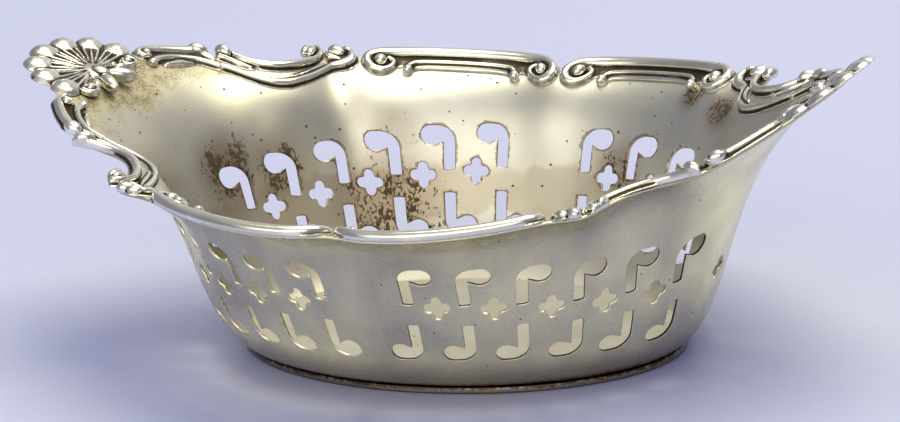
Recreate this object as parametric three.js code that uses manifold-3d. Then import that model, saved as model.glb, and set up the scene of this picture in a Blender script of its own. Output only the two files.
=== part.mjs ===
// A boat-shaped bonbon dish: a raised bowl with pierced sides, a flat wire foot soldered
// under it, and a cast border of scrolls, leaves and two scallop shells along its edge.
// X runs along the dish, Y across it and +Z up; the foot stands on Z = 0. Millimetres.
import * as THREE from 'three';
import Module from 'manifold-3d';
import { mergeVertices } from 'three/addons/utils/BufferGeometryUtils.js';

const wasm = await Module();
wasm.setup();

// Sheet and foot
const SHEET = 0.9;
const SEAT_GAP = 0.3;
const FOOT_HEIGHT = 1.2;
const FOOT_WIDTH = 2.2;
const FOOT_BEVEL = 0.25;
const FOOT_HALF_LENGTH = 37.8;
const FOOT_HALF_WIDTH = 25.9;

// The wall is a loft of four closed rings: foot, belly, throat and rim. How far each of the last
// three stands out from the foot is set at mid-side and at the ends
const BELLY_OUT_AT_SIDE = 11.6;
const BELLY_OUT_AT_END = 9.2;
const BELLY_HEIGHT_AT_SIDE = 5;
const BELLY_HEIGHT_AT_END = 8;
const THROAT_OUT_AT_SIDE = 7.1;
const THROAT_OUT_AT_END = 7.2;
const THROAT_HEIGHT_AT_SIDE = 29;
const THROAT_HEIGHT_AT_LEFT = 36;
const THROAT_HEIGHT_AT_RIGHT = 33;

// Height of the sheet's edge: level at mid-side, rising to the two handles
const RIM_HEIGHT = 32.2;
const SHEER_RISE = 8.3;
const HANDLE_BEND_AT = 54;
const HANDLE_BEND_SPREAD = 6;
const HANDLE_ANGLE_LEFT = 9;
const HANDLE_ANGLE_RIGHT = 21.3;
const LEFT_TO_RIGHT_BLEND = 15;

const RIM_OUT_AT_SIDE = 22.7;
const RIM_OUT_AT_END = 30.2;

// Plan of the sheet's edge in one quarter, from mid-side to the end, one point each 6 degrees,
// as shares of its half length and half width
const RIM_STATION_STEP = 6;
const RIM_STATION_SHARES = [
  [0, 0.951], [0.076, 0.996], [0.159, 1], [0.241, 0.988], [0.332, 0.955], [0.426, 0.901],
  [0.512, 0.807], [0.603, 0.833], [0.61, 0.681], [0.644, 0.566], [0.706, 0.519], [0.782, 0.512],
  [0.865, 0.428], [0.932, 0.3], [0.982, 0.156], [1, 0],
];

// Piercing: commas in two rows and four-lobed crosses between them
const COMMAS_PER_QUARTER = 6;
const BELT_SHARE = 0.5;
const COMMA_LENGTH = 7.3;
const COMMA_TAIL_HALF_WIDTH = 0.95;
const COMMA_BEND_RADIUS = 2.9;
const COMMA_HEAD_RADIUS = 1.75;
const COMMA_HEAD_OFFSET = 2.9;
const COMMA_HEAD_START = 75;
const COMMA_HEAD_SWEEP = 200;
const COMMA_THROAT_DROP = 1.0;
const FIRST_COMMA_FROM_CENTRE = 7.5;
const LAST_COMMA_FROM_END = 12.8;
const UPPER_TAIL_HEIGHT_AT_SIDE = 18.4;
const UPPER_TAIL_HEIGHT_AT_END = 16.4;
const LOWER_TAIL_HEIGHT_AT_SIDE = 14.5;
const LOWER_TAIL_HEIGHT_AT_END = 13;
const CROSS_HEIGHT_AT_SIDE = 17.9;
const CROSS_HEIGHT_AT_END = 15.4;
const CROSS_LOBE_RADIUS = 0.85;
const CROSS_LOBE_OFFSET = 1.35;
const CROSS_LOBE_SWEEP = 105;
const CUT_MARGIN = 1;

// Border castings
const PLATE_THICKNESS = 0.5;
const PLATE_INNER_EDGE = -3.9;
const PLATE_OUTER_EDGE = 0.5;
const RIDGE_SINK = 0.15;
const PIECE_GAP = 0.45;
const OUTER_RIDGE_RADIUS = 1.0;
const INNER_RIDGE_RADIUS = 0.7;
const OUTER_RIDGE_LINE = 0.1;
const INNER_RIDGE_LINE = -2.8;
const VOLUTE_LINE = -2.1;
const VOLUTE_RADIUS = 2.1;
const VOLUTE_RISE_SHARE = 0.75;
const VOLUTE_FROM_END = 3.1;
const SHOULDER_VOLUTE_RADIUS = 2;
const BAND_LINE_AT_HEAD = -5.0;
const BAND_LINE_AT_TAIL = -4.3;
const BAND_RADIUS = 0.7;
const BAND_MARGIN = 0.25;
const KNOB_RADIUS = 1.1;
const KNOB_RISE_SHARE = 1.15;
const KNOB_FROM_END = 8.0;

// Where each casting starts and ends along the edge, as shares of the way from mid-side to the end
const LONG_SCROLL_END_SHARE = 0.393;
const C_SCROLL_START_SHARE = 0.4635;
const SHOULDER_END_SHARE = 0.696;
const HANDLE_EDGE_END_SHARE = 0.8515;
const C_SCROLL_LINE_AT_START = -1.6;
const C_SCROLL_LINE_AT_END = 0.1;
const C_SCROLL_INNER_EDGE = -2.6;
const C_SCROLL_RADIUS = 0.8;
const C_SCROLL_KNOB_RADIUS = 1.5;
const C_SCROLL_KNOB_LINE = 0.6;
const LEAF_LENGTH = 2.6;
const LEAF_WIDTH = 1.2;

// Scallop shells
const SHELL_OVERHANG = 8.5;
const SHELL_RADIUS = 10.8;
const SHELL_BACK_RADIUS = 3.6;
const SHELL_LOBES = 7;
const SHELL_SPREAD = 190;
const SHELL_THICKNESS = 1.0;
const SHELL_FLUTE_HEIGHT = 1.1;
const SHELL_SCALLOP_DEPTH = 0.9;
const SHELL_SEAT_GAP = 0.45;
const SHELL_FLUTE_RUN_SHARE = 1.6;
const SHELL_HUB_SHARE = 0.5;

// How finely curves are divided
const WALL_STEPS_AROUND = 48;
const WALL_ROW_SHARES = [0, 0.12, 0.44, 0.77, 0.9, 1];
const COMMA_BEND_STEPS = 2;
const COMMA_HEAD_STEPS = 3;
const CROSS_LOBE_STEPS = 2;
const FOOT_STEPS = 12;
const RIDGE_STEP = 4.2;
const SECTION_STEPS = 3;
const DOME_STEPS_AROUND = 6;
const DOME_STEPS_UP = 2;
const SHELL_STEPS_PER_LOBE = 4;
const SHELL_STEPS_OUT = 3;
const ARC_TABLE_STEPS = 360;
const BISECTIONS = 30;
const SMALL_ANGLE = 0.05;
const SMALL_SHARE = 0.001;

const QUARTERS = [
  { name: 'rear_right', x: 1, y: 1 },
  { name: 'rear_left', x: -1, y: 1 },
  { name: 'front_left', x: -1, y: -1 },
  { name: 'front_right', x: 1, y: -1 },
];
const ENDS = [
  { name: 'left', x: -1 },
  { name: 'right', x: 1 },
];

const radians = THREE.MathUtils.degToRad;
const mix = THREE.MathUtils.lerp;

const rimHalfLength = FOOT_HALF_LENGTH + RIM_OUT_AT_END;
const rimHalfWidth = FOOT_HALF_WIDTH + RIM_OUT_AT_SIDE;
const throatHalfLength = FOOT_HALF_LENGTH + THROAT_OUT_AT_END;

// Meshes and solids

function signedVolume(points, faces) {
  return faces.reduce((sum, [a, b, c]) => {
    const cross = new THREE.Vector3().crossVectors(points[b], points[c]);
    return sum + points[a].dot(cross);
  }, 0);
}

function solidFrom(points, faces) {
  const outward = signedVolume(points, faces) > 0;
  const ordered = outward ? faces : faces.map(([a, b, c]) => [a, c, b]);
  return new wasm.Manifold(new wasm.Mesh({
    numProp: 3,
    vertProperties: Float32Array.from(points.flatMap((point) => point.toArray())),
    triVerts: Uint32Array.from(ordered.flat()),
  }));
}

// Closed rings of equal length, joined side by side and closed by a fan at each end
function loft(rings) {
  const size = rings[0].length;
  const points = rings.flat();
  const faces = [];
  for (let row = 0; row + 1 < rings.length; row += 1) {
    for (let column = 0; column < size; column += 1) {
      const next = (column + 1) % size;
      const [a, b] = [row * size + column, row * size + next];
      faces.push([a, b, b + size], [a, b + size, a + size]);
    }
  }
  [0, rings.length - 1].forEach((row) => {
    const centre = points.length;
    const sum = rings[row].reduce((total, point) => total.add(point), new THREE.Vector3());
    points.push(sum.divideScalar(size));
    for (let column = 0; column < size; column += 1) {
      const [a, b] = [row * size + column, row * size + (column + 1) % size];
      faces.push(row === 0 ? [centre, b, a] : [centre, a, b]);
    }
  });
  return solidFrom(points, faces);
}

function geometryOf(solid) {
  const mesh = solid.getMesh();
  const geometry = new THREE.BufferGeometry();
  geometry.setAttribute('position', new THREE.BufferAttribute(Float32Array.from(mesh.vertProperties), 3));
  geometry.setIndex(new THREE.BufferAttribute(Uint32Array.from(mesh.triVerts), 1));
  geometry.computeVertexNormals();
  return geometry;
}

function join(solids) {
  return solids.reduce((whole, solid) => whole.add(solid));
}

// The sheet: a surface over the angle round the dish and the share of the way up the wall

// A point on an oval that stands out from the foot, by different amounts at its ends and sides
function ovalPoint(outAtEnd, outAtSide, angle, height) {
  const x = (FOOT_HALF_LENGTH + outAtEnd) * Math.cos(angle);
  const y = (FOOT_HALF_WIDTH + outAtSide) * Math.sin(angle);
  return new THREE.Vector3(x, y, height);
}

function endShare(angle) {
  return Math.cos(angle) ** 2;
}

// The right handle rises more steeply than the left, so heights blend from left to right
function leftToRight(left, right, x) {
  return mix(left, right, (1 + Math.tanh(x / LEFT_TO_RIGHT_BLEND)) / 2);
}

function handleLift(x) {
  const slope = Math.tan(leftToRight(radians(HANDLE_ANGLE_LEFT), radians(HANDLE_ANGLE_RIGHT), x));
  const past = Math.abs(x) - HANDLE_BEND_AT;
  return slope * (Math.hypot(past, HANDLE_BEND_SPREAD) + past) / 2;
}

function rimHeight(x) {
  return RIM_HEIGHT + SHEER_RISE * (x / rimHalfLength) ** 2 + handleLift(x);
}

function rimStation(index) {
  const perQuarter = RIM_STATION_SHARES.length - 1;
  const turned = THREE.MathUtils.euclideanModulo(index, 4 * perQuarter);
  const quarter = Math.floor(turned / perQuarter);
  const step = turned - quarter * perQuarter;
  const fromEnd = quarter % 2 === 0 ? step : perQuarter - step;
  const [lengthShare, widthShare] = RIM_STATION_SHARES[perQuarter - fromEnd];
  const xSign = quarter === 1 || quarter === 2 ? -1 : 1;
  const ySign = quarter < 2 ? 1 : -1;
  return [xSign * lengthShare * rimHalfLength, ySign * widthShare * rimHalfWidth];
}

// A uniform cubic B-spline through the stations, so the edge has no kinks
function rimPoint(angle) {
  const place = angle / radians(RIM_STATION_STEP);
  const index = Math.floor(place);
  const t = place - index;
  const weights = [(1 - t) ** 3, 3 * t ** 3 - 6 * t ** 2 + 4, -3 * t ** 3 + 3 * t ** 2 + 3 * t + 1, t ** 3];
  const [x, y] = weights.reduce(([sumX, sumY], weight, offset) => {
    const [stationX, stationY] = rimStation(index + offset - 1);
    return [sumX + weight * stationX / 6, sumY + weight * stationY / 6];
  }, [0, 0]);
  return new THREE.Vector3(x, y, rimHeight(x));
}

function wallPoint(angle, share) {
  const end = endShare(angle);
  const bellyHeight = mix(BELLY_HEIGHT_AT_SIDE, BELLY_HEIGHT_AT_END, end);
  const throatX = throatHalfLength * Math.cos(angle);
  const throatEnd = leftToRight(THROAT_HEIGHT_AT_LEFT, THROAT_HEIGHT_AT_RIGHT, throatX);
  const throatHeight = mix(THROAT_HEIGHT_AT_SIDE, throatEnd, end);
  const curve = new THREE.CubicBezierCurve3(
    ovalPoint(0, 0, angle, FOOT_HEIGHT + SEAT_GAP),
    ovalPoint(BELLY_OUT_AT_END, BELLY_OUT_AT_SIDE, angle, bellyHeight),
    ovalPoint(THROAT_OUT_AT_END, THROAT_OUT_AT_SIDE, angle, throatHeight),
    rimPoint(angle),
  );
  return curve.getPoint(share);
}

function wallSlopes(angle, share) {
  const around = wallPoint(angle + radians(SMALL_ANGLE), share)
    .sub(wallPoint(angle - radians(SMALL_ANGLE), share))
    .divideScalar(2 * radians(SMALL_ANGLE));
  const up = wallPoint(angle, share + SMALL_SHARE)
    .sub(wallPoint(angle, share - SMALL_SHARE))
    .divideScalar(2 * SMALL_SHARE);
  const inward = new THREE.Vector3().crossVectors(up, around).normalize();
  return { around, up, inward };
}

// A point a given depth inside the wall's outer face; negative depths lie outside it
function wallOffset(angle, share, depth) {
  return wallPoint(angle, share).addScaledVector(wallSlopes(angle, share).inward, depth);
}

function ringAt(share, depth) {
  return Array.from({ length: WALL_STEPS_AROUND }, (_, step) => (
    wallOffset(2 * Math.PI * step / WALL_STEPS_AROUND, share, depth)
  ));
}

function floorRing() {
  return ringAt(0, SHEET).map((point) => point.setZ(FOOT_HEIGHT + SEAT_GAP + SHEET));
}

// Share of the way up the wall at which it reaches a height
function shareAtHeight(angle, height) {
  let [low, high] = [0, 1];
  for (let step = 0; step < BISECTIONS; step += 1) {
    const middle = (low + high) / 2;
    if (wallPoint(angle, middle).z < height) {
      low = middle;
    } else {
      high = middle;
    }
  }
  return (low + high) / 2;
}

// Distances round one quarter of the dish, from mid-side to the end, against the angle
function quarterTable(pointAt) {
  const rows = [{ angle: Math.PI / 2, distance: 0 }];
  for (let step = 1; step <= ARC_TABLE_STEPS; step += 1) {
    const angle = Math.PI / 2 * (1 - step / ARC_TABLE_STEPS);
    const last = rows[rows.length - 1];
    const [a, b] = [pointAt(last.angle), pointAt(angle)];
    rows.push({ angle, distance: last.distance + Math.hypot(a.x - b.x, a.y - b.y) });
  }
  return rows;
}

const edgeTable = quarterTable(rimPoint);
const beltTable = quarterTable((angle) => wallPoint(angle, BELT_SHARE));
const edgeLength = edgeTable[ARC_TABLE_STEPS].distance;
const beltLength = beltTable[ARC_TABLE_STEPS].distance;

function angleAt(table, distance) {
  const found = table.findIndex((row) => row.distance >= distance);
  if (found <= 0) {
    return table[found === 0 ? 0 : ARC_TABLE_STEPS].angle;
  }
  const [before, after] = [table[found - 1], table[found]];
  const share = (distance - before.distance) / (after.distance - before.distance);
  return mix(before.angle, after.angle, share);
}

// Piercing

function arc(x, y, radius, from, to, steps) {
  return Array.from({ length: steps + 1 }, (_, step) => {
    const turn = radians(mix(from, to, step / steps));
    return new THREE.Vector2(x + radius * Math.cos(turn), y + radius * Math.sin(turn));
  });
}

// A round head on a tail that bends over into it, drawn with the tail's foot at the origin
function commaOutline() {
  const headHeight = COMMA_LENGTH - COMMA_HEAD_RADIUS;
  const bendX = COMMA_BEND_RADIUS - COMMA_TAIL_HALF_WIDTH;
  const bendHeight = COMMA_LENGTH - COMMA_BEND_RADIUS;
  const headEnd = COMMA_HEAD_START - COMMA_HEAD_SWEEP;
  return [
    new THREE.Vector2(COMMA_TAIL_HALF_WIDTH, 0),
    new THREE.Vector2(-COMMA_TAIL_HALF_WIDTH, 0),
    ...arc(bendX, bendHeight, COMMA_BEND_RADIUS, 180, 90, COMMA_BEND_STEPS),
    ...arc(COMMA_HEAD_OFFSET, headHeight, COMMA_HEAD_RADIUS, COMMA_HEAD_START, headEnd, COMMA_HEAD_STEPS),
    new THREE.Vector2(COMMA_TAIL_HALF_WIDTH, headHeight - COMMA_THROAT_DROP),
  ];
}

function crossOutline() {
  return [0, 90, 180, 270].flatMap((turn) => {
    const x = CROSS_LOBE_OFFSET * Math.cos(radians(turn));
    const y = CROSS_LOBE_OFFSET * Math.sin(radians(turn));
    return arc(x, y, CROSS_LOBE_RADIUS, turn - CROSS_LOBE_SWEEP, turn + CROSS_LOBE_SWEEP, CROSS_LOBE_STEPS);
  });
}

// A cutter that runs square through the wall, its outline measured along and up the sheet
function cutter(outline, angle, share, xSign, ySign) {
  const { around, up } = wallSlopes(angle, share);
  const flat = outline.map(({ x, y }) => new THREE.Vector2(x * xSign, y * ySign));
  const place = ({ x, y }, depth) => (
    wallOffset(angle + x / around.length(), share + y / up.length(), depth)
  );
  const outer = flat.map((point) => place(point, -CUT_MARGIN));
  const inner = flat.map((point) => place(point, SHEET + CUT_MARGIN));
  const caps = THREE.ShapeUtils.triangulateShape(flat, []);
  const count = flat.length;
  const faces = caps.flatMap(([a, b, c]) => [[a, b, c], [a + count, c + count, b + count]]);
  const turned = THREE.ShapeUtils.area(flat) > 0 ? 1 : -1;
  for (let step = 0; step < count; step += 1) {
    const next = (step + 1) % count;
    const [a, b] = turned > 0 ? [step, next] : [next, step];
    faces.push([b, a, a + count], [b, a + count, b + count]);
  }
  return solidFrom([...outer, ...inner], faces);
}

function inQuarter(angle, quarter) {
  const point = [Math.cos(angle) * quarter.x, Math.sin(angle) * quarter.y];
  return Math.atan2(point[1], point[0]);
}

function quarterCutters(quarter) {
  const comma = commaOutline();
  const cross = crossOutline();
  const commaAngles = Array.from({ length: COMMAS_PER_QUARTER }, (_, number) => (
    angleAt(beltTable, mix(FIRST_COMMA_FROM_CENTRE, beltLength - LAST_COMMA_FROM_END, number / (COMMAS_PER_QUARTER - 1)))
  ));
  const hand = -quarter.x * quarter.y;
  const cutters = commaAngles.flatMap((plain) => {
    const angle = inQuarter(plain, quarter);
    const end = endShare(plain);
    const upper = shareAtHeight(angle, mix(UPPER_TAIL_HEIGHT_AT_SIDE, UPPER_TAIL_HEIGHT_AT_END, end));
    const lower = shareAtHeight(angle, mix(LOWER_TAIL_HEIGHT_AT_SIDE, LOWER_TAIL_HEIGHT_AT_END, end));
    return [cutter(comma, angle, upper, hand, 1), cutter(comma, angle, lower, -hand, -1)];
  });
  commaAngles.slice(1).forEach((plain, number) => {
    const between = (plain + commaAngles[number]) / 2;
    const height = mix(CROSS_HEIGHT_AT_SIDE, CROSS_HEIGHT_AT_END, endShare(between));
    const angle = inQuarter(between, quarter);
    cutters.push(cutter(cross, angle, shareAtHeight(angle, height), 1, 1));
  });
  return cutters;
}

function endCutters() {
  return [0, Math.PI].map((angle) => (
    cutter(crossOutline(), angle, shareAtHeight(angle, CROSS_HEIGHT_AT_END), 1, 1)
  ));
}

function bowl() {
  const outside = WALL_ROW_SHARES.map((share) => ringAt(share, 0));
  const inside = WALL_ROW_SHARES.slice(1).reverse().map((share) => ringAt(share, SHEET));
  const shell = loft([...outside, ...inside, floorRing()]);
  const cutters = [...QUARTERS.flatMap(quarterCutters), ...endCutters()];
  return cutters.reduce((whole, tool) => whole.subtract(tool), shell);
}

// Foot

function footRing() {
  const inset = FOOT_BEVEL;
  const shape = new THREE.Shape();
  shape.absellipse(0, 0, FOOT_HALF_LENGTH - inset, FOOT_HALF_WIDTH - inset, 0, 2 * Math.PI);
  const hole = new THREE.Path();
  const holeLength = FOOT_HALF_LENGTH - FOOT_WIDTH + inset;
  const holeWidth = FOOT_HALF_WIDTH - FOOT_WIDTH + inset;
  hole.absellipse(0, 0, holeLength, holeWidth, 0, 2 * Math.PI);
  shape.holes.push(hole);
  const geometry = new THREE.ExtrudeGeometry(shape, {
    depth: FOOT_HEIGHT - 2 * inset,
    bevelSize: inset,
    bevelThickness: inset,
    bevelSegments: 1,
    curveSegments: FOOT_STEPS,
  });
  geometry.translate(0, 0, inset);
  geometry.deleteAttribute('normal');
  geometry.deleteAttribute('uv');
  return mergeVertices(geometry);
}

// The border: castings laid on the sheet, placed by distance along its edge and across it

const longScrollEnd = edgeLength * LONG_SCROLL_END_SHARE;
const cScrollStart = edgeLength * C_SCROLL_START_SHARE;
const shoulderEnd = edgeLength * SHOULDER_END_SHARE;
const handleEdgeEnd = edgeLength * HANDLE_EDGE_END_SHARE;

// Place on the sheet: distance along the edge, across it (outward positive), height over the sheet
function onSheet(quarter, along, across, height) {
  const angle = inQuarter(angleAt(edgeTable, along), quarter);
  const share = 1 + across / wallSlopes(angle, 1).up.length();
  const { inward } = wallSlopes(angle, share);
  const point = wallPoint(angle, share).addScaledVector(inward, SHEET + SEAT_GAP + height);
  return { point, normal: inward };
}

function stepsBetween(from, to, step) {
  const count = Math.max(1, Math.round(Math.abs(to - from) / step));
  return Array.from({ length: count + 1 }, (_, index) => mix(from, to, index / count));
}

// A moulded strip: a thin base with half-round rolls on it, each [across, radius] from the inside out
// The base's underside has a point at its middle too, so that it follows the curve of the sheet
function strip(quarter, from, to, innerEdge, outerEdge, rolls) {
  const at = (place, along) => (typeof place === 'function' ? place(along) : place);
  const section = (along) => rolls.flatMap(([line, radius]) => {
    const across = at(line, along);
    return Array.from({ length: SECTION_STEPS + 1 }, (_, step) => {
      const turn = Math.PI * (1 - step / SECTION_STEPS);
      return [across + radius * Math.cos(turn), PLATE_THICKNESS + radius * Math.sin(turn)];
    });
  });
  return loft(stepsBetween(from, to, RIDGE_STEP).map((along) => [
    [at(innerEdge, along), 0],
    [at(innerEdge, along), PLATE_THICKNESS],
    ...section(along),
    [at(outerEdge, along), PLATE_THICKNESS],
    [at(outerEdge, along), 0],
    [(at(innerEdge, along) + at(outerEdge, along)) / 2, 0],
  ].map(([across, height]) => onSheet(quarter, along, across, height).point)));
}

// A domed knob, flattened at its top, with its foot sunk into the casting's base
function dome(quarter, along, across, radiusAlong, radiusAcross = radiusAlong, riseShare = KNOB_RISE_SHARE) {
  const { point, normal } = onSheet(quarter, along, across, PLATE_THICKNESS - RIDGE_SINK);
  const ahead = onSheet(quarter, along + RIDGE_STEP, across, PLATE_THICKNESS - RIDGE_SINK).point;
  const tangent = ahead.sub(point).normalize();
  const side = new THREE.Vector3().crossVectors(normal, tangent).normalize();
  const forward = new THREE.Vector3().crossVectors(side, normal);
  const height = Math.min(radiusAlong, radiusAcross) * riseShare;
  return loft(Array.from({ length: DOME_STEPS_UP + 1 }, (_, row) => {
    const rise = Math.PI / 2 * row / (DOME_STEPS_UP + 0.5);
    return Array.from({ length: DOME_STEPS_AROUND }, (_unused, step) => {
      const turn = 2 * Math.PI * step / DOME_STEPS_AROUND;
      return point.clone()
        .addScaledVector(forward, radiusAlong * Math.cos(rise) * Math.cos(turn))
        .addScaledVector(side, radiusAcross * Math.cos(rise) * Math.sin(turn))
        .addScaledVector(normal, height * Math.sin(rise));
    });
  }));
}

// A volute's boss, wider and flatter than a knob
function volute(quarter, along, across, radius) {
  return dome(quarter, along, across, radius, radius, VOLUTE_RISE_SHARE);
}

// Where the outer roll turns in, as far as the inner one, toward a volute at either end of a casting
function turnedIn(line, from, to) {
  const besideInnerRoll = INNER_RIDGE_LINE + INNER_RIDGE_RADIUS + OUTER_RIDGE_RADIUS;
  return (along) => {
    const fromEnd = Math.min(along - from, to - along);
    return mix(besideInnerRoll, line, THREE.MathUtils.smoothstep(fromEnd, 0, VOLUTE_FROM_END));
  };
}

// Long scroll: an outer roll that turns in to a volute at both ends, and an inner roll between knobs
function longScroll(quarter) {
  const [from, to] = [PIECE_GAP, longScrollEnd - PIECE_GAP];
  const ends = [from + VOLUTE_FROM_END, to - VOLUTE_FROM_END];
  const knobs = [from + KNOB_FROM_END, to - KNOB_FROM_END];
  return join([
    strip(quarter, from, to, PLATE_INNER_EDGE, PLATE_OUTER_EDGE + OUTER_RIDGE_RADIUS, [
      [INNER_RIDGE_LINE, INNER_RIDGE_RADIUS],
      [turnedIn(OUTER_RIDGE_LINE, from, to), OUTER_RIDGE_RADIUS],
    ]),
    ...knobs.map((along) => dome(quarter, along, INNER_RIDGE_LINE, KNOB_RADIUS)),
    ...ends.map((along) => volute(quarter, along, VOLUTE_LINE, VOLUTE_RADIUS)),
  ]);
}

// Shoulder scroll: a volute at the corner of the dish whose band sweeps on inside the C-scroll
function shoulderScroll(quarter) {
  const [from, to] = [longScrollEnd + PIECE_GAP, shoulderEnd - PIECE_GAP];
  const head = cScrollStart - PIECE_GAP;
  const tailEdge = C_SCROLL_INNER_EDGE - PIECE_GAP;
  const sweep = (along) => THREE.MathUtils.smoothstep(along, from, (head + to) / 2);
  const bandLine = (along) => mix(BAND_LINE_AT_HEAD, BAND_LINE_AT_TAIL, sweep(along));
  const innerEdge = (along) => bandLine(along) - BAND_RADIUS - BAND_MARGIN;
  const outerEdge = (along) => (along < head - RIDGE_STEP ? PLATE_OUTER_EDGE : tailEdge);
  const middle = (from + head) / 2;
  return join([
    strip(quarter, from, to, innerEdge, outerEdge, [[bandLine, BAND_RADIUS]]),
    volute(quarter, middle, VOLUTE_LINE / 2, SHOULDER_VOLUTE_RADIUS),
  ]);
}

// C-scroll: a thin bow across the hollow of the edge between two round knobs
function cScroll(quarter) {
  const [from, to] = [cScrollStart, shoulderEnd - PIECE_GAP];
  const ends = [from + C_SCROLL_KNOB_RADIUS, to - C_SCROLL_KNOB_RADIUS];
  const run = (along) => THREE.MathUtils.inverseLerp(from, to, along);
  const bow = (along) => mix(C_SCROLL_LINE_AT_START, C_SCROLL_LINE_AT_END, run(along));
  return join([
    strip(quarter, from, to, C_SCROLL_INNER_EDGE, PLATE_OUTER_EDGE + C_SCROLL_RADIUS, [
      [bow, C_SCROLL_RADIUS],
    ]),
    ...ends.map((along) => dome(quarter, along, C_SCROLL_KNOB_LINE, C_SCROLL_KNOB_RADIUS)),
  ]);
}

// Handle edge: a knob, a double roll up the handle, and a curled leaf beside the shell
function handleEdge(quarter) {
  const [from, to] = [shoulderEnd + PIECE_GAP, handleEdgeEnd];
  const leaf = to - LEAF_LENGTH;
  return join([
    strip(quarter, from, to, PLATE_INNER_EDGE, PLATE_OUTER_EDGE + OUTER_RIDGE_RADIUS, [
      [INNER_RIDGE_LINE, INNER_RIDGE_RADIUS],
      [OUTER_RIDGE_LINE, OUTER_RIDGE_RADIUS],
    ]),
    dome(quarter, from + C_SCROLL_KNOB_RADIUS, OUTER_RIDGE_LINE / 2, C_SCROLL_KNOB_RADIUS),
    dome(quarter, leaf, INNER_RIDGE_LINE, LEAF_LENGTH, LEAF_WIDTH),
  ]);
}

// Scallop shell: flutes fan out from a small boss, each ending in a round lobe
function shell(end) {
  const angle = end.x > 0 ? 0 : Math.PI;
  const { up, inward } = wallSlopes(angle, 1);
  const forward = up.clone().normalize();
  const lift = SHEET + SHELL_SEAT_GAP;
  const centreX = rimHalfLength + SHELL_OVERHANG - SHELL_RADIUS * Math.abs(forward.x) + lift * Math.abs(inward.x);
  const share = 1 + (centreX - Math.abs(rimPoint(angle).x)) / Math.abs(up.x);
  const side = new THREE.Vector3().crossVectors(inward, forward);
  const centre = wallPoint(angle, share).addScaledVector(inward, lift);
  const spread = radians(SHELL_SPREAD);
  const fluted = SHELL_LOBES * SHELL_STEPS_PER_LOBE;
  const backSteps = SHELL_STEPS_PER_LOBE;
  const turns = Array.from({ length: fluted + backSteps }, (_, step) => (
    step <= fluted
      ? spread * (step / fluted - 0.5)
      : spread / 2 + (2 * Math.PI - spread) * (step - fluted) / backSteps
  ));
  const outline = (turn) => {
    const place = (turn + spread / 2) / spread * SHELL_LOBES;
    const onFan = Math.abs(turn) <= spread / 2;
    const crest = onFan ? Math.abs(Math.sin(Math.PI * place)) : 0;
    const blend = onFan ? 1 : Math.abs(Math.cos((turn - spread / 2) / (2 * Math.PI - spread) * Math.PI)) ** 2;
    const radius = mix(SHELL_BACK_RADIUS, SHELL_RADIUS - SHELL_SCALLOP_DEPTH, blend) + SHELL_SCALLOP_DEPTH * crest;
    return { radius, crest };
  };
  const ring = (reach, height) => turns.map((turn) => {
    const { radius, crest } = outline(turn);
    return centre.clone()
      .addScaledVector(forward, radius * reach * Math.cos(turn))
      .addScaledVector(side, radius * reach * Math.sin(turn))
      .addScaledVector(inward, height(crest));
  });
  const reaches = Array.from({ length: SHELL_STEPS_OUT }, (_, step) => 1 - (step + 0.5) / SHELL_STEPS_OUT);
  return loft([
    ring(SHELL_HUB_SHARE, () => 0),
    ring(1, () => 0),
    ...reaches.map((reach) => ring(reach, (crest) => (
      SHELL_THICKNESS + SHELL_FLUTE_HEIGHT * crest * Math.min(1, SHELL_FLUTE_RUN_SHARE * reach)
    ))),
  ]);
}

// Finishes

const silverOutside = new THREE.MeshStandardMaterial({ color: '#b3ada3', roughness: 0.3, metalness: 1 });
const silverBorder = new THREE.MeshStandardMaterial({ color: '#cfcac0', roughness: 0.22, metalness: 1 });
const silverFoot = new THREE.MeshStandardMaterial({ color: '#8f857b', roughness: 0.35, metalness: 1 });

const group = new THREE.Group();

function addPart(name, geometry, material) {
  const mesh = new THREE.Mesh(geometry, material);
  mesh.name = name;
  group.add(mesh);
}

addPart('bowl', geometryOf(bowl()), silverOutside);
addPart('foot_ring', footRing(), silverFoot);
QUARTERS.forEach((quarter) => {
  addPart(`long_scroll_${quarter.name}`, geometryOf(longScroll(quarter)), silverBorder);
  addPart(`shoulder_scroll_${quarter.name}`, geometryOf(shoulderScroll(quarter)), silverBorder);
  addPart(`c_scroll_${quarter.name}`, geometryOf(cScroll(quarter)), silverBorder);
  addPart(`handle_edge_${quarter.name}`, geometryOf(handleEdge(quarter)), silverBorder);
});
ENDS.forEach((end) => {
  addPart(`shell_${end.name}`, geometryOf(shell(end)), silverBorder);
});

export default group;
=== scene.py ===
# A pierced, boat-shaped silver dish with a cast border, on a pale surface in soft light.
# X runs along the dish, Y across it and +Z up. Sizes are in millimetres and become metres
# where a mesh is made.
import math

import bpy
import numpy as np
from mathutils import Matrix, Vector
from mathutils.geometry import delaunay_2d_cdt


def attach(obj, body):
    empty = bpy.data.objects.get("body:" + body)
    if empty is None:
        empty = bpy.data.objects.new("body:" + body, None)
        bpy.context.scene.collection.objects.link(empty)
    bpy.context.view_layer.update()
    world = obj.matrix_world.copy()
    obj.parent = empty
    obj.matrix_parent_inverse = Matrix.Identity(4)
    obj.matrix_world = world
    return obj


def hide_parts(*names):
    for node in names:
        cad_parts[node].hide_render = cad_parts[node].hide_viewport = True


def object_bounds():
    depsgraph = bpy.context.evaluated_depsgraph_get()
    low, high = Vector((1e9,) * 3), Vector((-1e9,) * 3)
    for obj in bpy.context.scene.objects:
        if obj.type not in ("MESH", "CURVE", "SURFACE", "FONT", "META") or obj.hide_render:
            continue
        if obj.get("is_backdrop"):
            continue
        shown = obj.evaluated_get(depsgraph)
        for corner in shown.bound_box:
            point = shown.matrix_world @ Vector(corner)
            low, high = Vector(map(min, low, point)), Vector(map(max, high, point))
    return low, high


METRE = 0.001

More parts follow.
